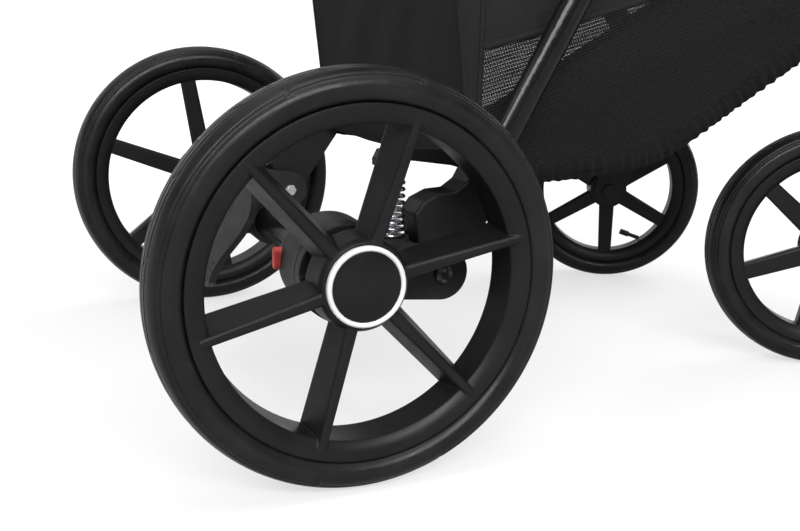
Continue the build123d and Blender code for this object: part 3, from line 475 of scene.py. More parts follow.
def tyre_profile(radius, half, lip):
    """A tyre's outer section from bead to bead, as pairs of a point and its outward normal."""
    tall = radius - lip
    side = [
        (0.0, radius), (0.36 * half, radius - 0.03 * tall), (0.68 * half, radius - 0.115 * tall),
        (0.88 * half, radius - 0.27 * tall), (0.98 * half, radius - 0.45 * tall),
        (half, radius - 0.60 * tall), (0.96 * half, radius - 0.78 * tall),
        (0.84 * half, radius - 0.93 * tall), (0.73 * half, lip + 0.2),
    ]
    ends = [Vector((x, r, 0)) for x, r in side]
    mirrored = [Vector((-p.x, p.y, 0)) for p in reversed(ends[1:])]
    fine = even(smooth_line(mirrored + ends, 4), PROFILE_POINTS)
    middle = radius - TREAD_END * tall
    kept, last = [], None
    for i, p in enumerate(fine):
        near = any(
            abs(abs(p.x) / half - place) < 1.3 * wide and p.y > middle
            for place, wide, _ in GROOVES + (SHOULDER,)
        )
        step = FINE_STEP if near else COARSE_STEP
        if last is None or (p - last).length > step or i == len(fine) - 1:
            heading = (fine[min(i + 1, len(fine) - 1)] - fine[max(i - 1, 0)]).normalized()
            kept.append((p, Vector((-heading.y, heading.x, 0))))
            last = p
    return kept


def groove(place, middle, wide, deep):
    """The depth of a rounded cut at one place across it."""
    return deep * max(0.0, 1 - ((place - middle) / wide) ** 2)


def tread_depth(p, angle, radius, half, lip):
    """How far the tread is cut below the profile, in millimetres."""
    if p.y < radius - TREAD_END * (radius - lip):
        return 0.0
    place = abs(p.x) / half
    turn = (math.degrees(angle) + (90.0 if p.x > 0 else 0.0)) % 180.0
    cut = max(groove(place, *line) for line in GROOVES)
    if not PANEL[0] < turn < PANEL[1]:
        cut = max(cut, groove(place, *SHOULDER))
    if PANEL_INNER < place < SHOULDER[0]:
        for end in PANEL:
            cut = max(cut, groove(turn, end - PANEL_SLANT * (place - PANEL_INNER), *PANEL_CUT))
    phase = (math.degrees(angle) + (BLOCK_PITCH / 2 if p.x > 0 else 0.0)) % BLOCK_PITCH
    if place < GROOVES[1][0]:
        cut = max(cut, groove(phase - BLOCK_SLANT * place, *BLOCK_CUT))
    return cut


def tyre(name, centre, turn, size, body):
    """A treaded tyre; its size is the radius, half the width and the radius of the rim's lip."""
    outside = tyre_profile(*size)
    _, half, lip = size
    bead = half - BEAD_INSET
    inner = [Vector((bead, lip - BEAD_DROP, 0)), Vector((-bead, lip - BEAD_DROP, 0))]
    points = []
    place = Matrix.Translation(centre) @ Matrix.Rotation(turn, 4, "Z")
    for k in range(TYRE_STEPS):
        angle = math.tau * k / TYRE_STEPS
        for p in [p - n * tread_depth(p, angle, *size) for p, n in outside] + inner:
            spun = Vector((p.x, p.y * math.cos(angle), p.y * math.sin(angle)))
            points.append(place @ (spun / 1000))
    faces = rows_to_faces(TYRE_STEPS, len(outside) + len(inner), True, True)
    made = piece(name + "_rubber", points, faces, [RUBBER], body)
    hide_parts(name)


REAR_SIZE, FRONT_SIZE = (150.0, 24.0, 126.0), (122.0, 20.0, 100.0)
REAR_X, SWIVEL_X, SWIVEL_Y = 262.3, 192.0, -575.4
CASTER_TURN, TRAIL = math.radians(-29.0), 39.3
TRAIL_X, TRAIL_Y = TRAIL * math.sin(CASTER_TURN), TRAIL * math.cos(CASTER_TURN)
for hand, side in HANDS:
    hub = at(side * REAR_X, 0, REAR_SIZE[0])
    tyre("rear_tyre_" + hand, hub, 0.0, REAR_SIZE, "rear_wheel_" + hand)
    hub = at(side * SWIVEL_X - TRAIL_X, SWIVEL_Y + TRAIL_Y, FRONT_SIZE[0])
    tyre("front_tyre_" + hand, hub, CASTER_TURN, FRONT_SIZE, "front_wheel_" + hand)


# Springs: wound wire between the leg bracket and the swing arm

SPRING_LOW, SPRING_HIGH, SPRING_TURNS, COIL_STEPS = 165.2, 221.8, 11, 28
SPRING_X, SPRING_Y, SPRING_RADIUS, SPRING_WIRE = 204.5, -45.0, 10.4, 1.6


def coil_point(turn, side):
    """A point on the wire after that many turns from the lower end."""
    angle = math.tau * turn
    rise = SPRING_LOW + (SPRING_HIGH - SPRING_LOW) * turn / SPRING_TURNS
    across, along = SPRING_RADIUS * math.cos(angle), SPRING_RADIUS * math.sin(angle)
    return at(side * (SPRING_X + across), SPRING_Y + along, rise)


for hand, side in HANDS:
    coil = [coil_point(k / COIL_STEPS, side) for k in range(COIL_STEPS * SPRING_TURNS + 1)]
    core = at(side * SPRING_X, SPRING_Y, 0)

    def outward(p, core=core):
        return Vector((p.x - core.x, p.y - core.y, 0))

    wire = SPRING_WIRE / 1000
    made = tube("spring_wire_" + hand, coil, wire, wire, outward, SPRING, None, 10)
    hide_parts("spring_" + hand)
    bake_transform(made)


# Basket: a long strip for the rear, floor and front, and two netted sides sewn to it

BASKET_HALF = 168.0
CORNER_BAND = -131.0  # the seam between a side's solid corner and its net
REAR_TOP, FRONT_TOP = (-105.0, 380.0), (-600.0, 440.0)
SIDE_REAR, SIDE_FRONT = -126.4, -597.0
REAR_PANEL_END, FLOOR_END = -135, -330
BASKET_FLOOR, STRIP_COLUMNS = 209, 49
profile = [
    REAR_TOP, (-122.0, 246.0), (-126.5, 210.5), (-152.0, 207.0), (-190.0, 204.0),
    (-250.0, 207.0), (-310.0, 214.0), (-346.0, 231.5), (-420.0, 275.0), (-560.0, 357.0),
    (-590.0, 374.5), (-598.0, 380.0), (-599.0, 400.0), FRONT_TOP,
]
chain = even(smooth_line([Vector((0, y, z)) for y, z in profile], 3), 140)


def ripple_at(x, y, z, size, seed):
    """Soft waves of that size in the cloth, from -1 to 1."""
    return noise.noise(Vector((x / size + seed, y / size, z / size)))


def half_width(y):
    """The basket is a little wider at the rear."""
    return BASKET_HALF + 11.0 * min(max((y + 420.0) / 270.0, 0.0), 1.0)


def strip_point(share_x, place):
    """A point of the strip: folds in the rear panel, a sag in the floor, a swell in front."""
    x = (2 * share_x - 1) * half_width(place.y)
    inside = 1 - (2 * share_x - 1) ** 2
    y, z = place.y, place.z
    if y > REAR_PANEL_END:
        drop = min(max((z - BASKET_FLOOR) / 60, 0), 1) * min((395 - z) / 60, 1)
        fold = 1.3 * math.sin(x / 34 + 0.6 * math.sin(z / 40))
        fold += 4.0 * ripple_at(x + 0.6 * z, 0, z / 4, 60, 3.1)
        y += inside * drop * fold
    elif y > FLOOR_END:
        sag = math.sin(math.pi * (REAR_PANEL_END - y) / (REAR_PANEL_END - FLOOR_END))
        z -= inside * sag * 3.0 + 1.2 * inside * ripple_at(x, y, 0, 40, 7.7)
    else:
        z += inside * (1.5 + 1.2 * ripple_at(x, y, 0, 45, 1.7))
    return at(x, y, z)


points, uvs, run = [], [], 0.0
for i, place in enumerate(chain):
    if i:
        run += (place - chain[i - 1]).length
    for j in range(STRIP_COLUMNS):
        share = j / (STRIP_COLUMNS - 1)
        points.append(strip_point(share, place))
        uvs.append(((share - 0.5) * 2 * BASKET_HALF / 1000, run / 1000))
faces = rows_to_faces(len(chain), STRIP_COLUMNS)
strip = piece("basket_strip", points, faces, [BASKET], "front_frame", uvs)


def window_height(y):
    """The net's upper edge, which climbs towards the front."""
    ahead_of_corner = CORNER_BAND - y
    return 310.0 + 0.26 * ahead_of_corner + 0.0001 * ahead_of_corner ** 2


foot = [p for p in chain if p.z < 250 or (SIDE_FRONT < p.y < -140)]
ROWS, CORNER_ROWS = 97, 6
NET_STEPS, CLOTH_STEPS = 22, 9
SEAM_LIFT, SEAM_UP = 0.5, Vector((0, 1, 0.3))


def floor_height(y):
    """The height of the basket's lower edge at one station."""
    for a, b in zip(foot, foot[1:]):
        if b.y <= y <= a.y:
            return a.z + (b.z - a.z) * (y - a.y) / min(b.y - a.y, -1e-6)
    return foot[-1].z


def side_row(k):
    """The foot and top of one row of a side panel; the first rows make the solid corner."""
    if k <= CORNER_ROWS:
        share = k / CORNER_ROWS
        low = SIDE_REAR + (CORNER_BAND - SIDE_REAR) * share
        high = REAR_TOP[0] + (CORNER_BAND - REAR_TOP[0]) * share
    else:
        share = (k - CORNER_ROWS) / (ROWS - 1 - CORNER_ROWS)
        low = CORNER_BAND + (SIDE_FRONT - CORNER_BAND) * share
        high = CORNER_BAND + (FRONT_TOP[0] - CORNER_BAND) * share
    rise = (high - REAR_TOP[0]) / (FRONT_TOP[0] - REAR_TOP[0])
    top_height = REAR_TOP[1] + (FRONT_TOP[1] - REAR_TOP[1]) * rise
    return Vector((0, low, floor_height(low))), Vector((0, high, top_height))


def window_share(k):
    """How far up one row of a side panel its net reaches."""
    low, tip = side_row(k)
    height = window_height(low.y + (tip.y - low.y) * 0.6)
    return min(max((height - low.z) / (tip.z - low.z), 0.08), 0.92)


def side_point(side, k, share, out=0.0):
    """A point of a side panel, swollen and pulled, or lifted off it by out."""
    low, tip = side_row(k)
    p = low.lerp(tip, share)
    swell = math.sin(math.pi * k / (ROWS - 1)) * math.sin(math.pi * share)
    pull = ripple_at(p.y, p.z, side * 40, 60, 5.3) * 2.4
    pull += ripple_at(p.y + p.z * 0.7, 0, side, 22, 9.1) * 0.8
    return at(side * (half_width(p.y) + 3.5 * swell + swell * pull + out), p.y, p.z)


for hand, side in HANDS:
    points, uvs = [], []
    for k in range(ROWS):
        cut = window_share(k)
        shares = [cut * j / NET_STEPS for j in range(NET_STEPS + 1)]
        shares += [cut + (1 - cut) * j / CLOTH_STEPS for j in range(1, CLOTH_STEPS + 1)]
        for share in shares:
            place = side_point(side, k, share)
            points.append(place)
            uvs.append((AXLE - place.y, place.z))
    steps = NET_STEPS + CLOTH_STEPS
    faces = rows_to_faces(ROWS, steps + 1)
    if side > 0:
        faces = [face[::-1] for face in faces]
    slots = [
        0 if j < NET_STEPS and k >= CORNER_ROWS else 1
        for k in range(ROWS - 1) for j in range(steps)
    ]
    panel = piece("basket_side_" + hand, points, faces, [NET, BASKET], "front_frame", uvs, slots)

    upright = [side_point(side, CORNER_ROWS, j / 60, SEAM_LIFT) for j in range(61)]
    border = [side_point(side, k, window_share(k), SEAM_LIFT) for k in range(CORNER_ROWS, ROWS)]
    for part, path in (("corner", upright), ("window", border)):
        name = f"basket_{part}_seam_{hand}"
        seam = tube(name, path, 0.0009, 0.0024, SEAM_UP, BASKET, "front_frame", 8)

    name = "basket_corner_piping_" + hand
    rear_edge = [at(side * half_width(p.y), p.y, p.z) for p in chain if p.y > -127.5]
    piping = tube(name, rear_edge, 0.0017, 0.0017, SIDE, BASKET, "front_frame", 8)
    hem_path = [at(side * (half_width(p.y) + 1.0), p.y, p.z + 4.0) for p in even(foot, 520)]

    def gather(run, side=side):
        wave = math.sin(run * 640 + 2.2 * math.sin(run * 61))
        wave += 0.8 * math.sin(run * 430 + 1.3 + side)
        return 1.0 + 0.03 * wave, 0.0006 * wave

    name = "basket_hem_" + hand
    hem = tube(name, hem_path, 0.0034, 0.0080, UP, HEM, "front_frame", 14, gather)

top = [side_row(k)[1] for k in range(ROWS)]
rim = [(-1, p) for p in top[::-1]] + [(1, p) for p in top]
rim_path = [at(s * half_width(p.y), p.y, p.z - 2) for s, p in rim]
corner_path = even(smooth_line(rim_path + [rim_path[0]], 1), 260)[:-1]
band = tube(
    "basket_rim_binding", corner_path, 0.0022, 0.0062, UP, BASKET, "front_frame", 10, closed=True
)
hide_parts("basket")

for hand, side in HANDS:
    edge = [at(side * (half_width(p.y) + 1.95), p.y, p.z - 5.2) for p in top]
    stitches("basket_rim_stitches_" + hand, edge, Vector((side, 0, 0)), "front_frame")


# Pads: stuffed by a short cloth simulation, held at their seams

STUFFING_STEPS, STUFFING_PRESSURE = 20, 4.0
PAD_VOXEL, SEAM_DEPTH = 0.0045, 0.0052
PAD_CROWN = 0.10  # rise of the middle, as a share of the thickness
PAD_WAIST = (0.022, 0.03)  # how far the sides and the ends draw in at their middles
PIPING_POINTS, PIPING_CORNER = 240, 0.28


def inflate(obj, cap):
    """Lets the pad swell under pressure, no point moving further than the cap."""
    cloth_step = obj.modifiers.new("stuffing", "CLOTH")
    settings = cloth_step.settings
    settings.quality = 5
    settings.mass = 0.3
    settings.use_pressure = True
    settings.uniform_pressure_force = STUFFING_PRESSURE
    settings.vertex_group_mass = "sewn"
    settings.effector_weights.gravity = 0
    cloth_step.point_cache.frame_end = STUFFING_STEPS
    scene = bpy.context.scene
    for step in range(1, STUFFING_STEPS + 1):
        scene.frame_set(step)
    swollen = obj.evaluated_get(bpy.context.evaluated_depsgraph_get()).to_mesh()
    moved = [v.co.copy() for v in swollen.vertices]
    obj.modifiers.remove(cloth_step)
    scene.frame_set(1)
    for vertex, end in zip(obj.data.vertices, moved):
        swell = end - vertex.co
        if swell.length > cap:
            swell *= cap / swell.length
        vertex.co += swell


def pad(name, node, place, half, long, thick, seams, body, cap=0.007):
    """A crowned pad in its own frame: X across, Y along, Z through, then set in place."""
    inset = cap * 0.7
    build = bmesh.new()
    bmesh.ops.create_cube(build, size=1.0)
    size = (2 * (half - inset), long - 2 * inset, thick - inset)
    bmesh.ops.scale(build, vec=size, verts=build.verts)
    bmesh.ops.bevel(
        build, geom=build.edges, offset=thick * 0.33, segments=4, profile=0.5, affect="EDGES"
    )
    mesh = bpy.data.meshes.new(name)
    build.to_mesh(mesh)
    build.free()
    obj = bpy.data.objects.new(name, mesh)
    bpy.context.scene.collection.objects.link(obj)
    bpy.context.view_layer.objects.active = obj
    remesh = obj.modifiers.new("even", "REMESH")
    remesh.mode = "VOXEL"
    remesh.voxel_size = PAD_VOXEL
    bpy.context.view_layer.update()
    remeshed = obj.evaluated_get(bpy.context.evaluated_depsgraph_get())
    baked = bpy.data.meshes.new_from_object(remeshed)
    obj.modifiers.clear()
    obj.data = baked
    sewn = obj.vertex_groups.new(name="sewn")
    wide, tall = size[0] / 2, size[1] / 2
    for vertex in obj.data.vertices:
        x, y, z = vertex.co
        u, v = x / wide, y / tall
        vertex.co.x -= x * PAD_WAIST[0] * (1 - v * v)
        vertex.co.y -= y * PAD_WAIST[1] * (1 - u * u)
        top = z > size[2] * 0.28
        if top:
            vertex.co.z += thick * PAD_CROWN * (1 - u * u) * (1 - v * v)
        dip = max((seam(x, y) for seam in seams), default=0.0) if top else 0.0
        if dip > 0:
            vertex.co.z -= SEAM_DEPTH * dip
            sewn.add([vertex.index], dip, "REPLACE")
        if z < -size[2] * 0.44:
            sewn.add([vertex.index], 1.0, "REPLACE")
        elif abs(z) < 0.003:
            sewn.add([vertex.index], 0.9, "REPLACE")
    inflate(obj, cap)
    obj.data.transform(place)
    obj.data.materials.append(SEAT)
    for face in obj.data.polygons:
        face.use_smooth = True
    finer = obj.modifiers.new("finer", "SUBSURF")
    finer.levels = finer.render_levels = 1
    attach(obj, body)
    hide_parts(node)
    ring = []
    for k in range(PIPING_POINTS):
        angle = math.tau * k / PIPING_POINTS
        c, s = math.cos(angle), math.sin(angle)
        u = math.copysign(abs(c) ** PIPING_CORNER, c)
        v = math.copysign(abs(s) ** PIPING_CORNER, s)
        x = u * wide * (1 - PAD_WAIST[0] * (1 - v * v))
        y = v * tall * (1 - PAD_WAIST[1] * (1 - u * u))
        ring.append(place @ Vector((x, y, 0.0)))
    normal = (place.to_3x3() @ UP).normalized()
    path = even(ring + [ring[0]], 260)[:-1]
    piping = tube(name + "_piping", path, 0.0021, 0.0021, normal, LEATHER, body, 8, closed=True)


def line_seam(axis, value, low, high, width=0.0042):
    """A sewn channel across the pad at one station."""
    def depth(x, y):
        along, across = (x, y) if axis == "y" else (y, x)
        if not low <= along <= high:
            return 0.0
        return max(0.0, 1 - abs(across - value) / width)
    return depth


def seat_frame(middle, along, up):
    """A frame with its Y axis along the pad and its Z axis out of it."""
    y = along.normalized()
    z = up.normalized()
    x = y.cross(z)
    return Matrix.Translation(middle) @ Matrix((x, y, z)).transposed().to_4x4()


LEAN, FOOT_SLOPE = math.radians(25.0), math.radians(40)
BACK_DIR = Vector((0, math.sin(LEAN), math.cos(LEAN)))
BACK_OUT = Vector((0, -math.cos(LEAN), math.sin(LEAN)))
BACK_FOOT = at(0, -212, 560)
seat_rear, seat_front = at(0, -236, 528), at(0, -445, 556)
seat_along = seat_front - seat_rear
seat_up = Vector((0, seat_along.z, -seat_along.y)).normalized()
seat_middle = (seat_rear + seat_front) / 2 + Vector((0, 0, 0.028))
seat_place = seat_frame(seat_middle, seat_along, seat_up)
back_place = seat_frame(BACK_FOOT + BACK_DIR * 0.238 + BACK_OUT * 0.023, BACK_DIR, BACK_OUT)
foot_dir = Vector((0, -math.cos(FOOT_SLOPE), -math.sin(FOOT_SLOPE)))
foot_up = Vector((0, -math.sin(FOOT_SLOPE), math.cos(FOOT_SLOPE)))
foot_place = seat_frame(at(0, -452, 552) + foot_dir * 0.081 + foot_up * 0.013, foot_dir, foot_up)

seat_seams = [line_seam("y", y, -0.098, 0.098) for y in (-0.05, 0.0, 0.05)]
seat_seams += [line_seam("x", x, -0.08, 0.08) for x in (-0.1, 0.1)]
pad("seat_cushion", "seat_pad", seat_place, 0.148, 0.2109, 0.040, seat_seams, "front_frame")
back_seams = [line_seam("y", y, -0.092, 0.092) for y in (-0.12, -0.06, 0.0, 0.06, 0.12)]
back_seams += [line_seam("x", x, -0.17, 0.17) for x in (-0.094, 0.094)]
pad("backrest_cushion", "backrest_pad", back_place, 0.146, 0.412, 0.038, back_seams, "backrest")
foot_seams = [line_seam("y", y, -0.11, 0.11) for y in (-0.022, 0.022)]
pad(
    "footrest_cushion", "footrest_pad", foot_place, 0.134, 0.130, 0.018, foot_seams, "footrest",
    cap=0.005,
)


# Canopy: two sewn hood sections over bows

CANOPY = at(0, -139.593, 857.249)  # the hood's pivot
HOOD_FOOT, HOOD_BEND, HOOD_STEPS = 26, 70.0, 61
HOOD_SAG, BOW_LIFT = 6.0, 1.2
EDGE_BOW, MIDDLE_BOW = 0.0027, 0.0018


def hood_section(edge, top, count):
    """Half of the hood's section, from the pivot up over the shoulder to the middle."""
    bend = HOOD_BEND
    line = [Vector((edge, HOOD_FOOT, 0)), Vector((edge, top - bend, 0))]
    for k in range(1, 13):
        angle = math.pi / 2 * k / 12
        x, y = bend * math.cos(angle), bend * math.sin(angle)
        line.append(Vector((edge - bend + x, top - bend + y, 0)))
    line.append(Vector((0, top, 0)))
    return even(line, count)


def hood(name, node, body, edge, top, start, end, bows):
    """Cloth between bows, from one angle about the pivot to another, sagging between them."""
    half_line = hood_section(edge, top, 46)
    section = [Vector((-p.x, p.y, 0)) for p in half_line] + half_line[-2::-1]
    points, uvs = [], []
    panel = (end - start) / bows
    for i in range(HOOD_STEPS):
        angle = start + (end - start) * i / (HOOD_STEPS - 1)
        a = math.radians(angle)
        phase = ((angle - start) % panel) / panel if i < HOOD_STEPS - 1 else 0.0
        dip = math.sin(math.pi * phase) ** 0.9
        run = 0.0
        for j, p in enumerate(section):
            if j:
                run += (p - section[j - 1]).length
            reach = min(max((p.y - HOOD_FOOT) / (top - HOOD_FOOT), 0.0), 1.0)
            crease = 0.8 * noise.noise(Vector((p.x / 40, angle / 9, reach * 3)))
            depth = (HOOD_SAG * dip + crease * dip) * reach ** 1.5
            x = p.x * (1 - depth * (1 - reach) * 0.0015)
            r = p.y - depth * (0.35 + 0.65 * (1 - abs(p.x) / edge * 0.5))
            points.append(CANOPY + Vector((x, r * math.cos(a), r * math.sin(a))) / 1000)
            uvs.append((run / 1000, a * top / 1000))
    obj = piece(name, points, rows_to_faces(HOOD_STEPS, len(section)), [HOOD], body, uvs)
    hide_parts(node)
    for k in range(bows + 1):
        a = math.radians(start + panel * k)
        path = []
        for p in section:
            r = p.y + BOW_LIFT
            path.append(CANOPY + Vector((p.x, r * math.cos(a), r * math.sin(a))) / 1000)
        size = EDGE_BOW if k in (0, bows) else MIDDLE_BOW
        round_way = Vector((0, -math.sin(a), math.cos(a)))
        bow = tube(f"{name}_bow_{k}", even(path, 110), size, size, round_way, HOOD, body, 8)


hood("hood_rear_cloth", "canopy_rear", "backrest", 183.0, 210.5, 15.0, 95.0, 2)
hood("hood_front_cloth", "canopy_front", "canopy", 189.0, 216.5, 85.0, 160.0, 2)


# Harness, and the straps that hold up the basket. Paths are metres: across, along, and off the pad.

STRAP_WIDE, STRAP_THICK, STRAP_STEP = 0.025, 0.0014, 0.006
STRAP_SECTION = ((-0.5, 0.0), (-0.47, 0.5), (0.47, 0.5), (0.5, 0.0), (0.47, -0.5), (-0.47, -0.5))
SHOULDER_PATH = (
    (0.052, 0.405, 0.040), (0.053, 0.398, 0.050), (0.056, 0.36, 0.0515),
    (0.066, 0.25, 0.0525), (0.074, 0.15, 0.051), (0.078, 0.10, 0.050),
)
SLEEVE_PATH, SLEEVE_LIFT = ((0.056, 0.365), (0.061, 0.30), (0.067, 0.235)), 0.0535
SLEEVE_END = 0.012
WAIST_PATH = (
    (0.128, 0.030, 0.0455), (0.105, 0.034, 0.0515), (0.075, 0.045, 0.0535), (0.045, 0.062, 0.0545),
)
CROTCH_PATH = (
    (0.0, 0.168, 0.0490), (0.0, 0.155, 0.0525), (0.0, 0.130, 0.0545), (0.0, 0.100, 0.0555),
)
HANGERS = (
    ("rear", (half_width(-106) + 2.4, -106, 366), (169, -247, 534)),
    ("front", (half_width(-430) + 2.4, -430, 405), (169, -352, 552)),
)


def ribbon(name, path, across, wide, body):
    """Flat webbing along a path, with a rounded edge."""
    points, uvs, run = [], [], 0.0
    line = even(path, max(int(length_of(path) / STRAP_STEP), 4))
    for i, place in enumerate(line):
        heading = (line[min(i + 1, len(line) - 1)] - line[max(i - 1, 0)]).normalized()
        up = heading.cross(across).normalized()
        if i:
            run += (place - line[i - 1]).length
        for a, b in STRAP_SECTION:
            points.append(place + across * (a * wide) + up * (b * STRAP_THICK))
            uvs.append((a * wide, run))
    count, around = len(line), len(STRAP_SECTION)
    faces = rows_to_faces(count, around, False, True)
    faces += [tuple(range(around))[::-1], tuple((count - 1) * around + k for k in range(around))]
    made = piece(name, points, faces, [STRAP], body, uvs)


def on_back(x, run, out):
    """A point over the backrest: run goes up from its foot, out is off its board."""
    return BACK_FOOT + Vector((x, 0, 0)) + BACK_DIR * run + BACK_OUT * out


def plate(name, place, size, bevel, material, body, rim):
    """A moulded plate with rounded corners, its faces sunk inside a rim."""
    build = bmesh.new()
    bmesh.ops.create_cube(build, size=1.0)
    bmesh.ops.scale(build, vec=size, verts=build.verts)
    upright = [e for e in build.edges if abs(e.verts[0].co.z - e.verts[1].co.z) > size[2] / 2]
    bmesh.ops.bevel(build, geom=upright, offset=bevel, segments=5, profile=0.5, affect="EDGES")
    caps = [f for f in build.faces if abs(f.normal.z) > 0.9]
    bmesh.ops.inset_individual(build, faces=caps, thickness=rim, use_even_offset=True)
    for face in caps:
        bmesh.ops.translate(build, verts=face.verts, vec=face.normal * -size[2] * 0.18)
    mesh = bpy.data.meshes.new(name)
    build.to_mesh(mesh)
    build.free()
    mesh.transform(place)
    mesh.materials.append(material)
    for face in mesh.polygons:
        face.use_smooth = True
    obj = bpy.data.objects.new(name, mesh)
    bpy.context.scene.collection.objects.link(obj)
    rounding = obj.modifiers.new("rounding", "BEVEL")
    rounding.width = min(size) * 0.18
    rounding.segments = 3
    rounding.limit_method = "ANGLE"
    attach(obj, body)


def on_seat(x, run, out):
    """A point over the seat pad: run goes forward from its rear edge, out is above the board."""
    return seat_rear + Vector((x, 0, 0)) + seat_along.normalized() * run + seat_up * out


for hand, side in HANDS:
    line = smooth_line([on_back(side * x, run, out) for x, run, out in SHOULDER_PATH], 2)
    ribbon("shoulder_strap_" + hand, line, SIDE, STRAP_WIDE, "backrest")
    sleeve_line = smooth_line([on_back(side * x, run, SLEEVE_LIFT) for x, run in SLEEVE_PATH], 2)
    sleeve_line = even(sleeve_line, 60)

    def puff(run, total=length_of(sleeve_line)):
        end = min(run, total - run) / SLEEVE_END
        return 0.55 + 0.45 * min(max(end, 0.0), 1.0) ** 0.5, 0.0

    name = "shoulder_pad_" + hand
    sleeve = tube(name, sleeve_line, 0.023, 0.0052, BACK_OUT, SEAT, "backrest", 24, puff)
    end = on_back(side * 0.0785, 0.083, 0.0505)
    tongue = seat_frame(end, BACK_DIR, BACK_OUT)
    name = "shoulder_tongue_" + hand
    size = (0.032, 0.044, 0.006)
    plate(name, tongue, size, 0.008, BLACK, "backrest", 0.004)
    line = smooth_line([on_seat(side * x, run, out) for x, run, out in WAIST_PATH], 2)
    ribbon("waist_strap_" + hand, line, seat_along.normalized(), STRAP_WIDE, "front_frame")

    for part, start, finish in HANGERS:
        low, high = at(side * start[0], *start[1:]), at(side * finish[0], *finish[1:])
        heading = (high - low).normalized()
        width_way = SIDE.cross(heading).normalized()
        middle = (low + high) / 2 + Vector((side * 0.002, 0, -0.003))
        hanger = smooth_line([low, low.lerp(middle, 0.5), middle, middle.lerp(high, 0.5), high], 2)
        ribbon(f"basket_{part}_strap_{hand}", hanger, width_way, 0.020, "front_frame")

line = smooth_line([on_seat(*p) for p in CROTCH_PATH], 2)
ribbon("crotch_strap", line, SIDE, 0.030, "front_frame")
buckle = seat_frame(on_seat(0.0, 0.078, 0.0580), seat_along, seat_up)
size = (0.052, 0.046, 0.013)
plate("buckle_body", buckle, size, 0.014, BLACK, "front_frame", 0.005)
knob = seat_frame(on_seat(0.0, 0.078, 0.0640), seat_along, seat_up)
size = (0.022, 0.022, 0.005)
plate("buckle_button", knob, size, 0.0105, GREY, "front_frame", 0.003)


# Two rows of stitches along the underside of the handle's grip

GRIP_Y, GRIP_Z, GRIP_HALF, GRIP_RADIUS = 120, 1020, 183, 0.01705
GRIP_SEAM, SEAM_ACROSS = Vector((0, -0.62, -0.785)), Vector((0, 0.785, -0.62))
for k, name in ((-1, "grip_stitches_lower"), (1, "grip_stitches_upper")):
    lean = (GRIP_SEAM + k * 0.13 * SEAM_ACROSS).normalized()
    along = [-GRIP_HALF + 2 * GRIP_HALF * j / 200 for j in range(201)]
    row = [at(x, GRIP_Y, GRIP_Z) + lean * GRIP_RADIUS for x in along]
    stitches(name, row, lean, "handle")


# Stage, light and camera

FLOOR_HALF = 40
FLOOR_MIRRORED, SKY_MIRRORED = 0.36, 0.2  # how bright the backdrop is in reflections
SHADE_NEAR, SHADE_FAR = 0.8, 2.0  # metres over which the floor turns to plain white
VIEW_WAY = (0.917, -0.398, 0.0)
LENS = 42.463
CAMERA_PLACE = at(-858.486, 227.902, 319.483)

floor_mesh = bpy.data.meshes.new("floor")
corners = [(x * FLOOR_HALF, y * FLOOR_HALF, 0) for x, y in ((-1, -1), (1, -1), (1, 1), (-1, 1))]
floor_mesh.from_pydata(corners, [], [(0, 1, 2, 3)])
floor = bpy.data.objects.new("floor", floor_mesh)
bpy.context.scene.collection.objects.link(floor)
paper = Shader("floor_paper", Roughness=0.95, Specular_IOR_Level=0.1, Emission_Color=(1, 1, 1, 1))
rays = paper.add("ShaderNodeLightPath").outputs
mirrored = paper.sum("MAXIMUM", rays["Is Glossy Ray"], rays["Is Transmission Ray"])
mirrored = paper.sum("MULTIPLY", mirrored, FLOOR_MIRRORED)
seen = paper.sum("MAXIMUM", rays["Is Camera Ray"], mirrored)
away = paper.add("ShaderNodeVectorMath", {0: paper.place}, operation="LENGTH").outputs["Value"]
white = paper.spread(away, 0.66, 1.0, SHADE_NEAR, SHADE_FAR)
paper.join(paper.sum("MULTIPLY", seen, white), paper.skin.inputs["Emission Strength"])
paper.colour(paper.spread(paper.noise(0.5, 3.0), 0.0, 1.0), (0.30, 0.30, 0.30), (0.33, 0.33, 0.33))
floor.data.materials.append(paper.material)

world = bpy.data.worlds.new("studio")
bpy.context.scene.world = world
world.use_nodes = True
sky = world.node_tree
direction = sky.nodes.new("ShaderNodeTexCoord").outputs["Generated"]
parts = sky.nodes.new("ShaderNodeSeparateXYZ")
sky.links.new(direction, parts.inputs[0])


def sky_ramp(source, stops):
    """A grey level that follows one direction of the sky."""
    ramp = sky.nodes.new("ShaderNodeValToRGB")
    sky.links.new(source, ramp.inputs[0])
    for place, level in stops:
        stop = ramp.color_ramp.elements.new(place)
        stop.color = (level, level, level, 1)
    ramp.color_ramp.elements.remove(ramp.color_ramp.elements[0])
    return ramp.outputs[0]


def sky_sum(operation, a, b):
    """Any two-value sum of the maths node, in the sky."""
    node = sky.nodes.new("ShaderNodeMath")
    node.operation = operation
    for place, value in enumerate((a, b)):
        if isinstance(value, float):
            node.inputs[place].default_value = value
        else:
            sky.links.new(value, node.inputs[place])
    return node.outputs[0]


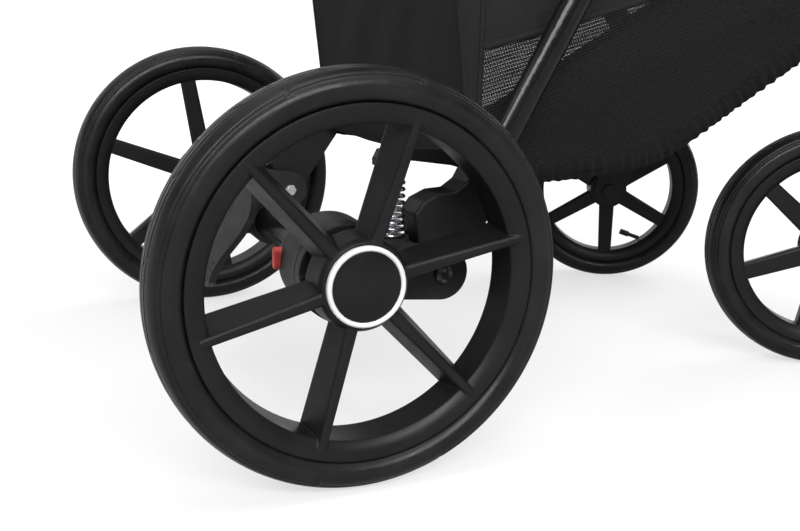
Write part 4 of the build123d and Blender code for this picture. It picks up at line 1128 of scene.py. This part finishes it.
facing = sky.nodes.new("ShaderNodeVectorMath")
facing.operation = "DOT_PRODUCT"
facing.inputs[1].default_value = VIEW_WAY
sky.links.new(direction, facing.inputs[0])
room = sky_ramp(parts.outputs["Z"], ((0.05, 1.0), (0.10, 0.12), (0.45, 0.10), (1.0, 0.30)))
wall = sky_ramp(parts.outputs["Z"], ((0.28, 0.95), (0.45, 0.0), (1.0, 0.0)))
wall_side = sky_ramp(facing.outputs["Value"], ((0.35, 0.0), (0.75, 1.0), (1.0, 1.0)))
sky_rays = sky.nodes.new("ShaderNodeLightPath").outputs
sky_mirrored = sky_sum("MAXIMUM", sky_rays["Is Glossy Ray"], sky_rays["Is Transmission Ray"])
sky_mirrored = sky_sum("MULTIPLY", sky_mirrored, SKY_MIRRORED)
sky_seen = sky_sum("MAXIMUM", sky_rays["Is Camera Ray"], sky_mirrored)
level = sky_sum("MAXIMUM", room, sky_sum("MULTIPLY", wall, wall_side))
level = sky_sum("MAXIMUM", level, sky_seen)
sky.links.new(level, sky.nodes["Background"].inputs["Color"])
sky.nodes["Background"].inputs["Strength"].default_value = 1.0


def softbox(name, place, target, size, power):
    """A rectangular lamp that faces its target."""
    lamp = bpy.data.lights.new(name, "AREA")
    lamp.shape = "RECTANGLE"
    lamp.size, lamp.size_y = size
    lamp.energy = power
    obj = bpy.data.objects.new(name, lamp)
    obj.location = place
    obj.rotation_euler = (Vector(target) - Vector(place)).to_track_quat("-Z", "Y").to_euler()
    bpy.context.scene.collection.objects.link(obj)


softbox("key", (-2.1, 0.75, 1.55), (-0.26, 0.3, 0.25), (2.4, 0.6), 62)
softbox("top", (-0.5, 0.3, 3.0), (-0.1, 0.1, 0.3), (1.5, 1.5), 24)
softbox("fill", (0.9, -2.8, 1.9), (0, 0, 0.4), (2.0, 2.0), 60)
softbox("rear", (-0.9, 2.5, 1.6), (-0.2, 0.1, 0.4), (0.2, 1.3), 7)

camera = bpy.data.cameras.new("camera")
camera.sensor_fit = "HORIZONTAL"
camera.sensor_width = 36.0
camera.lens = LENS
camera.clip_start = 0.02
view = bpy.data.objects.new("camera", camera)
right = Vector((-0.3912, -0.9200, 0.0253))
down = Vector((-0.2290, 0.0706, -0.9709))
ahead = Vector((0.8914, -0.3856, -0.2383))
turn = Matrix((right, -down, -ahead)).transposed()
view.matrix_world = Matrix.Translation(CAMERA_PLACE) @ turn.to_4x4()
bpy.context.scene.collection.objects.link(view)
bpy.context.scene.camera = view
bpy.context.scene.view_settings.view_transform = "Standard"
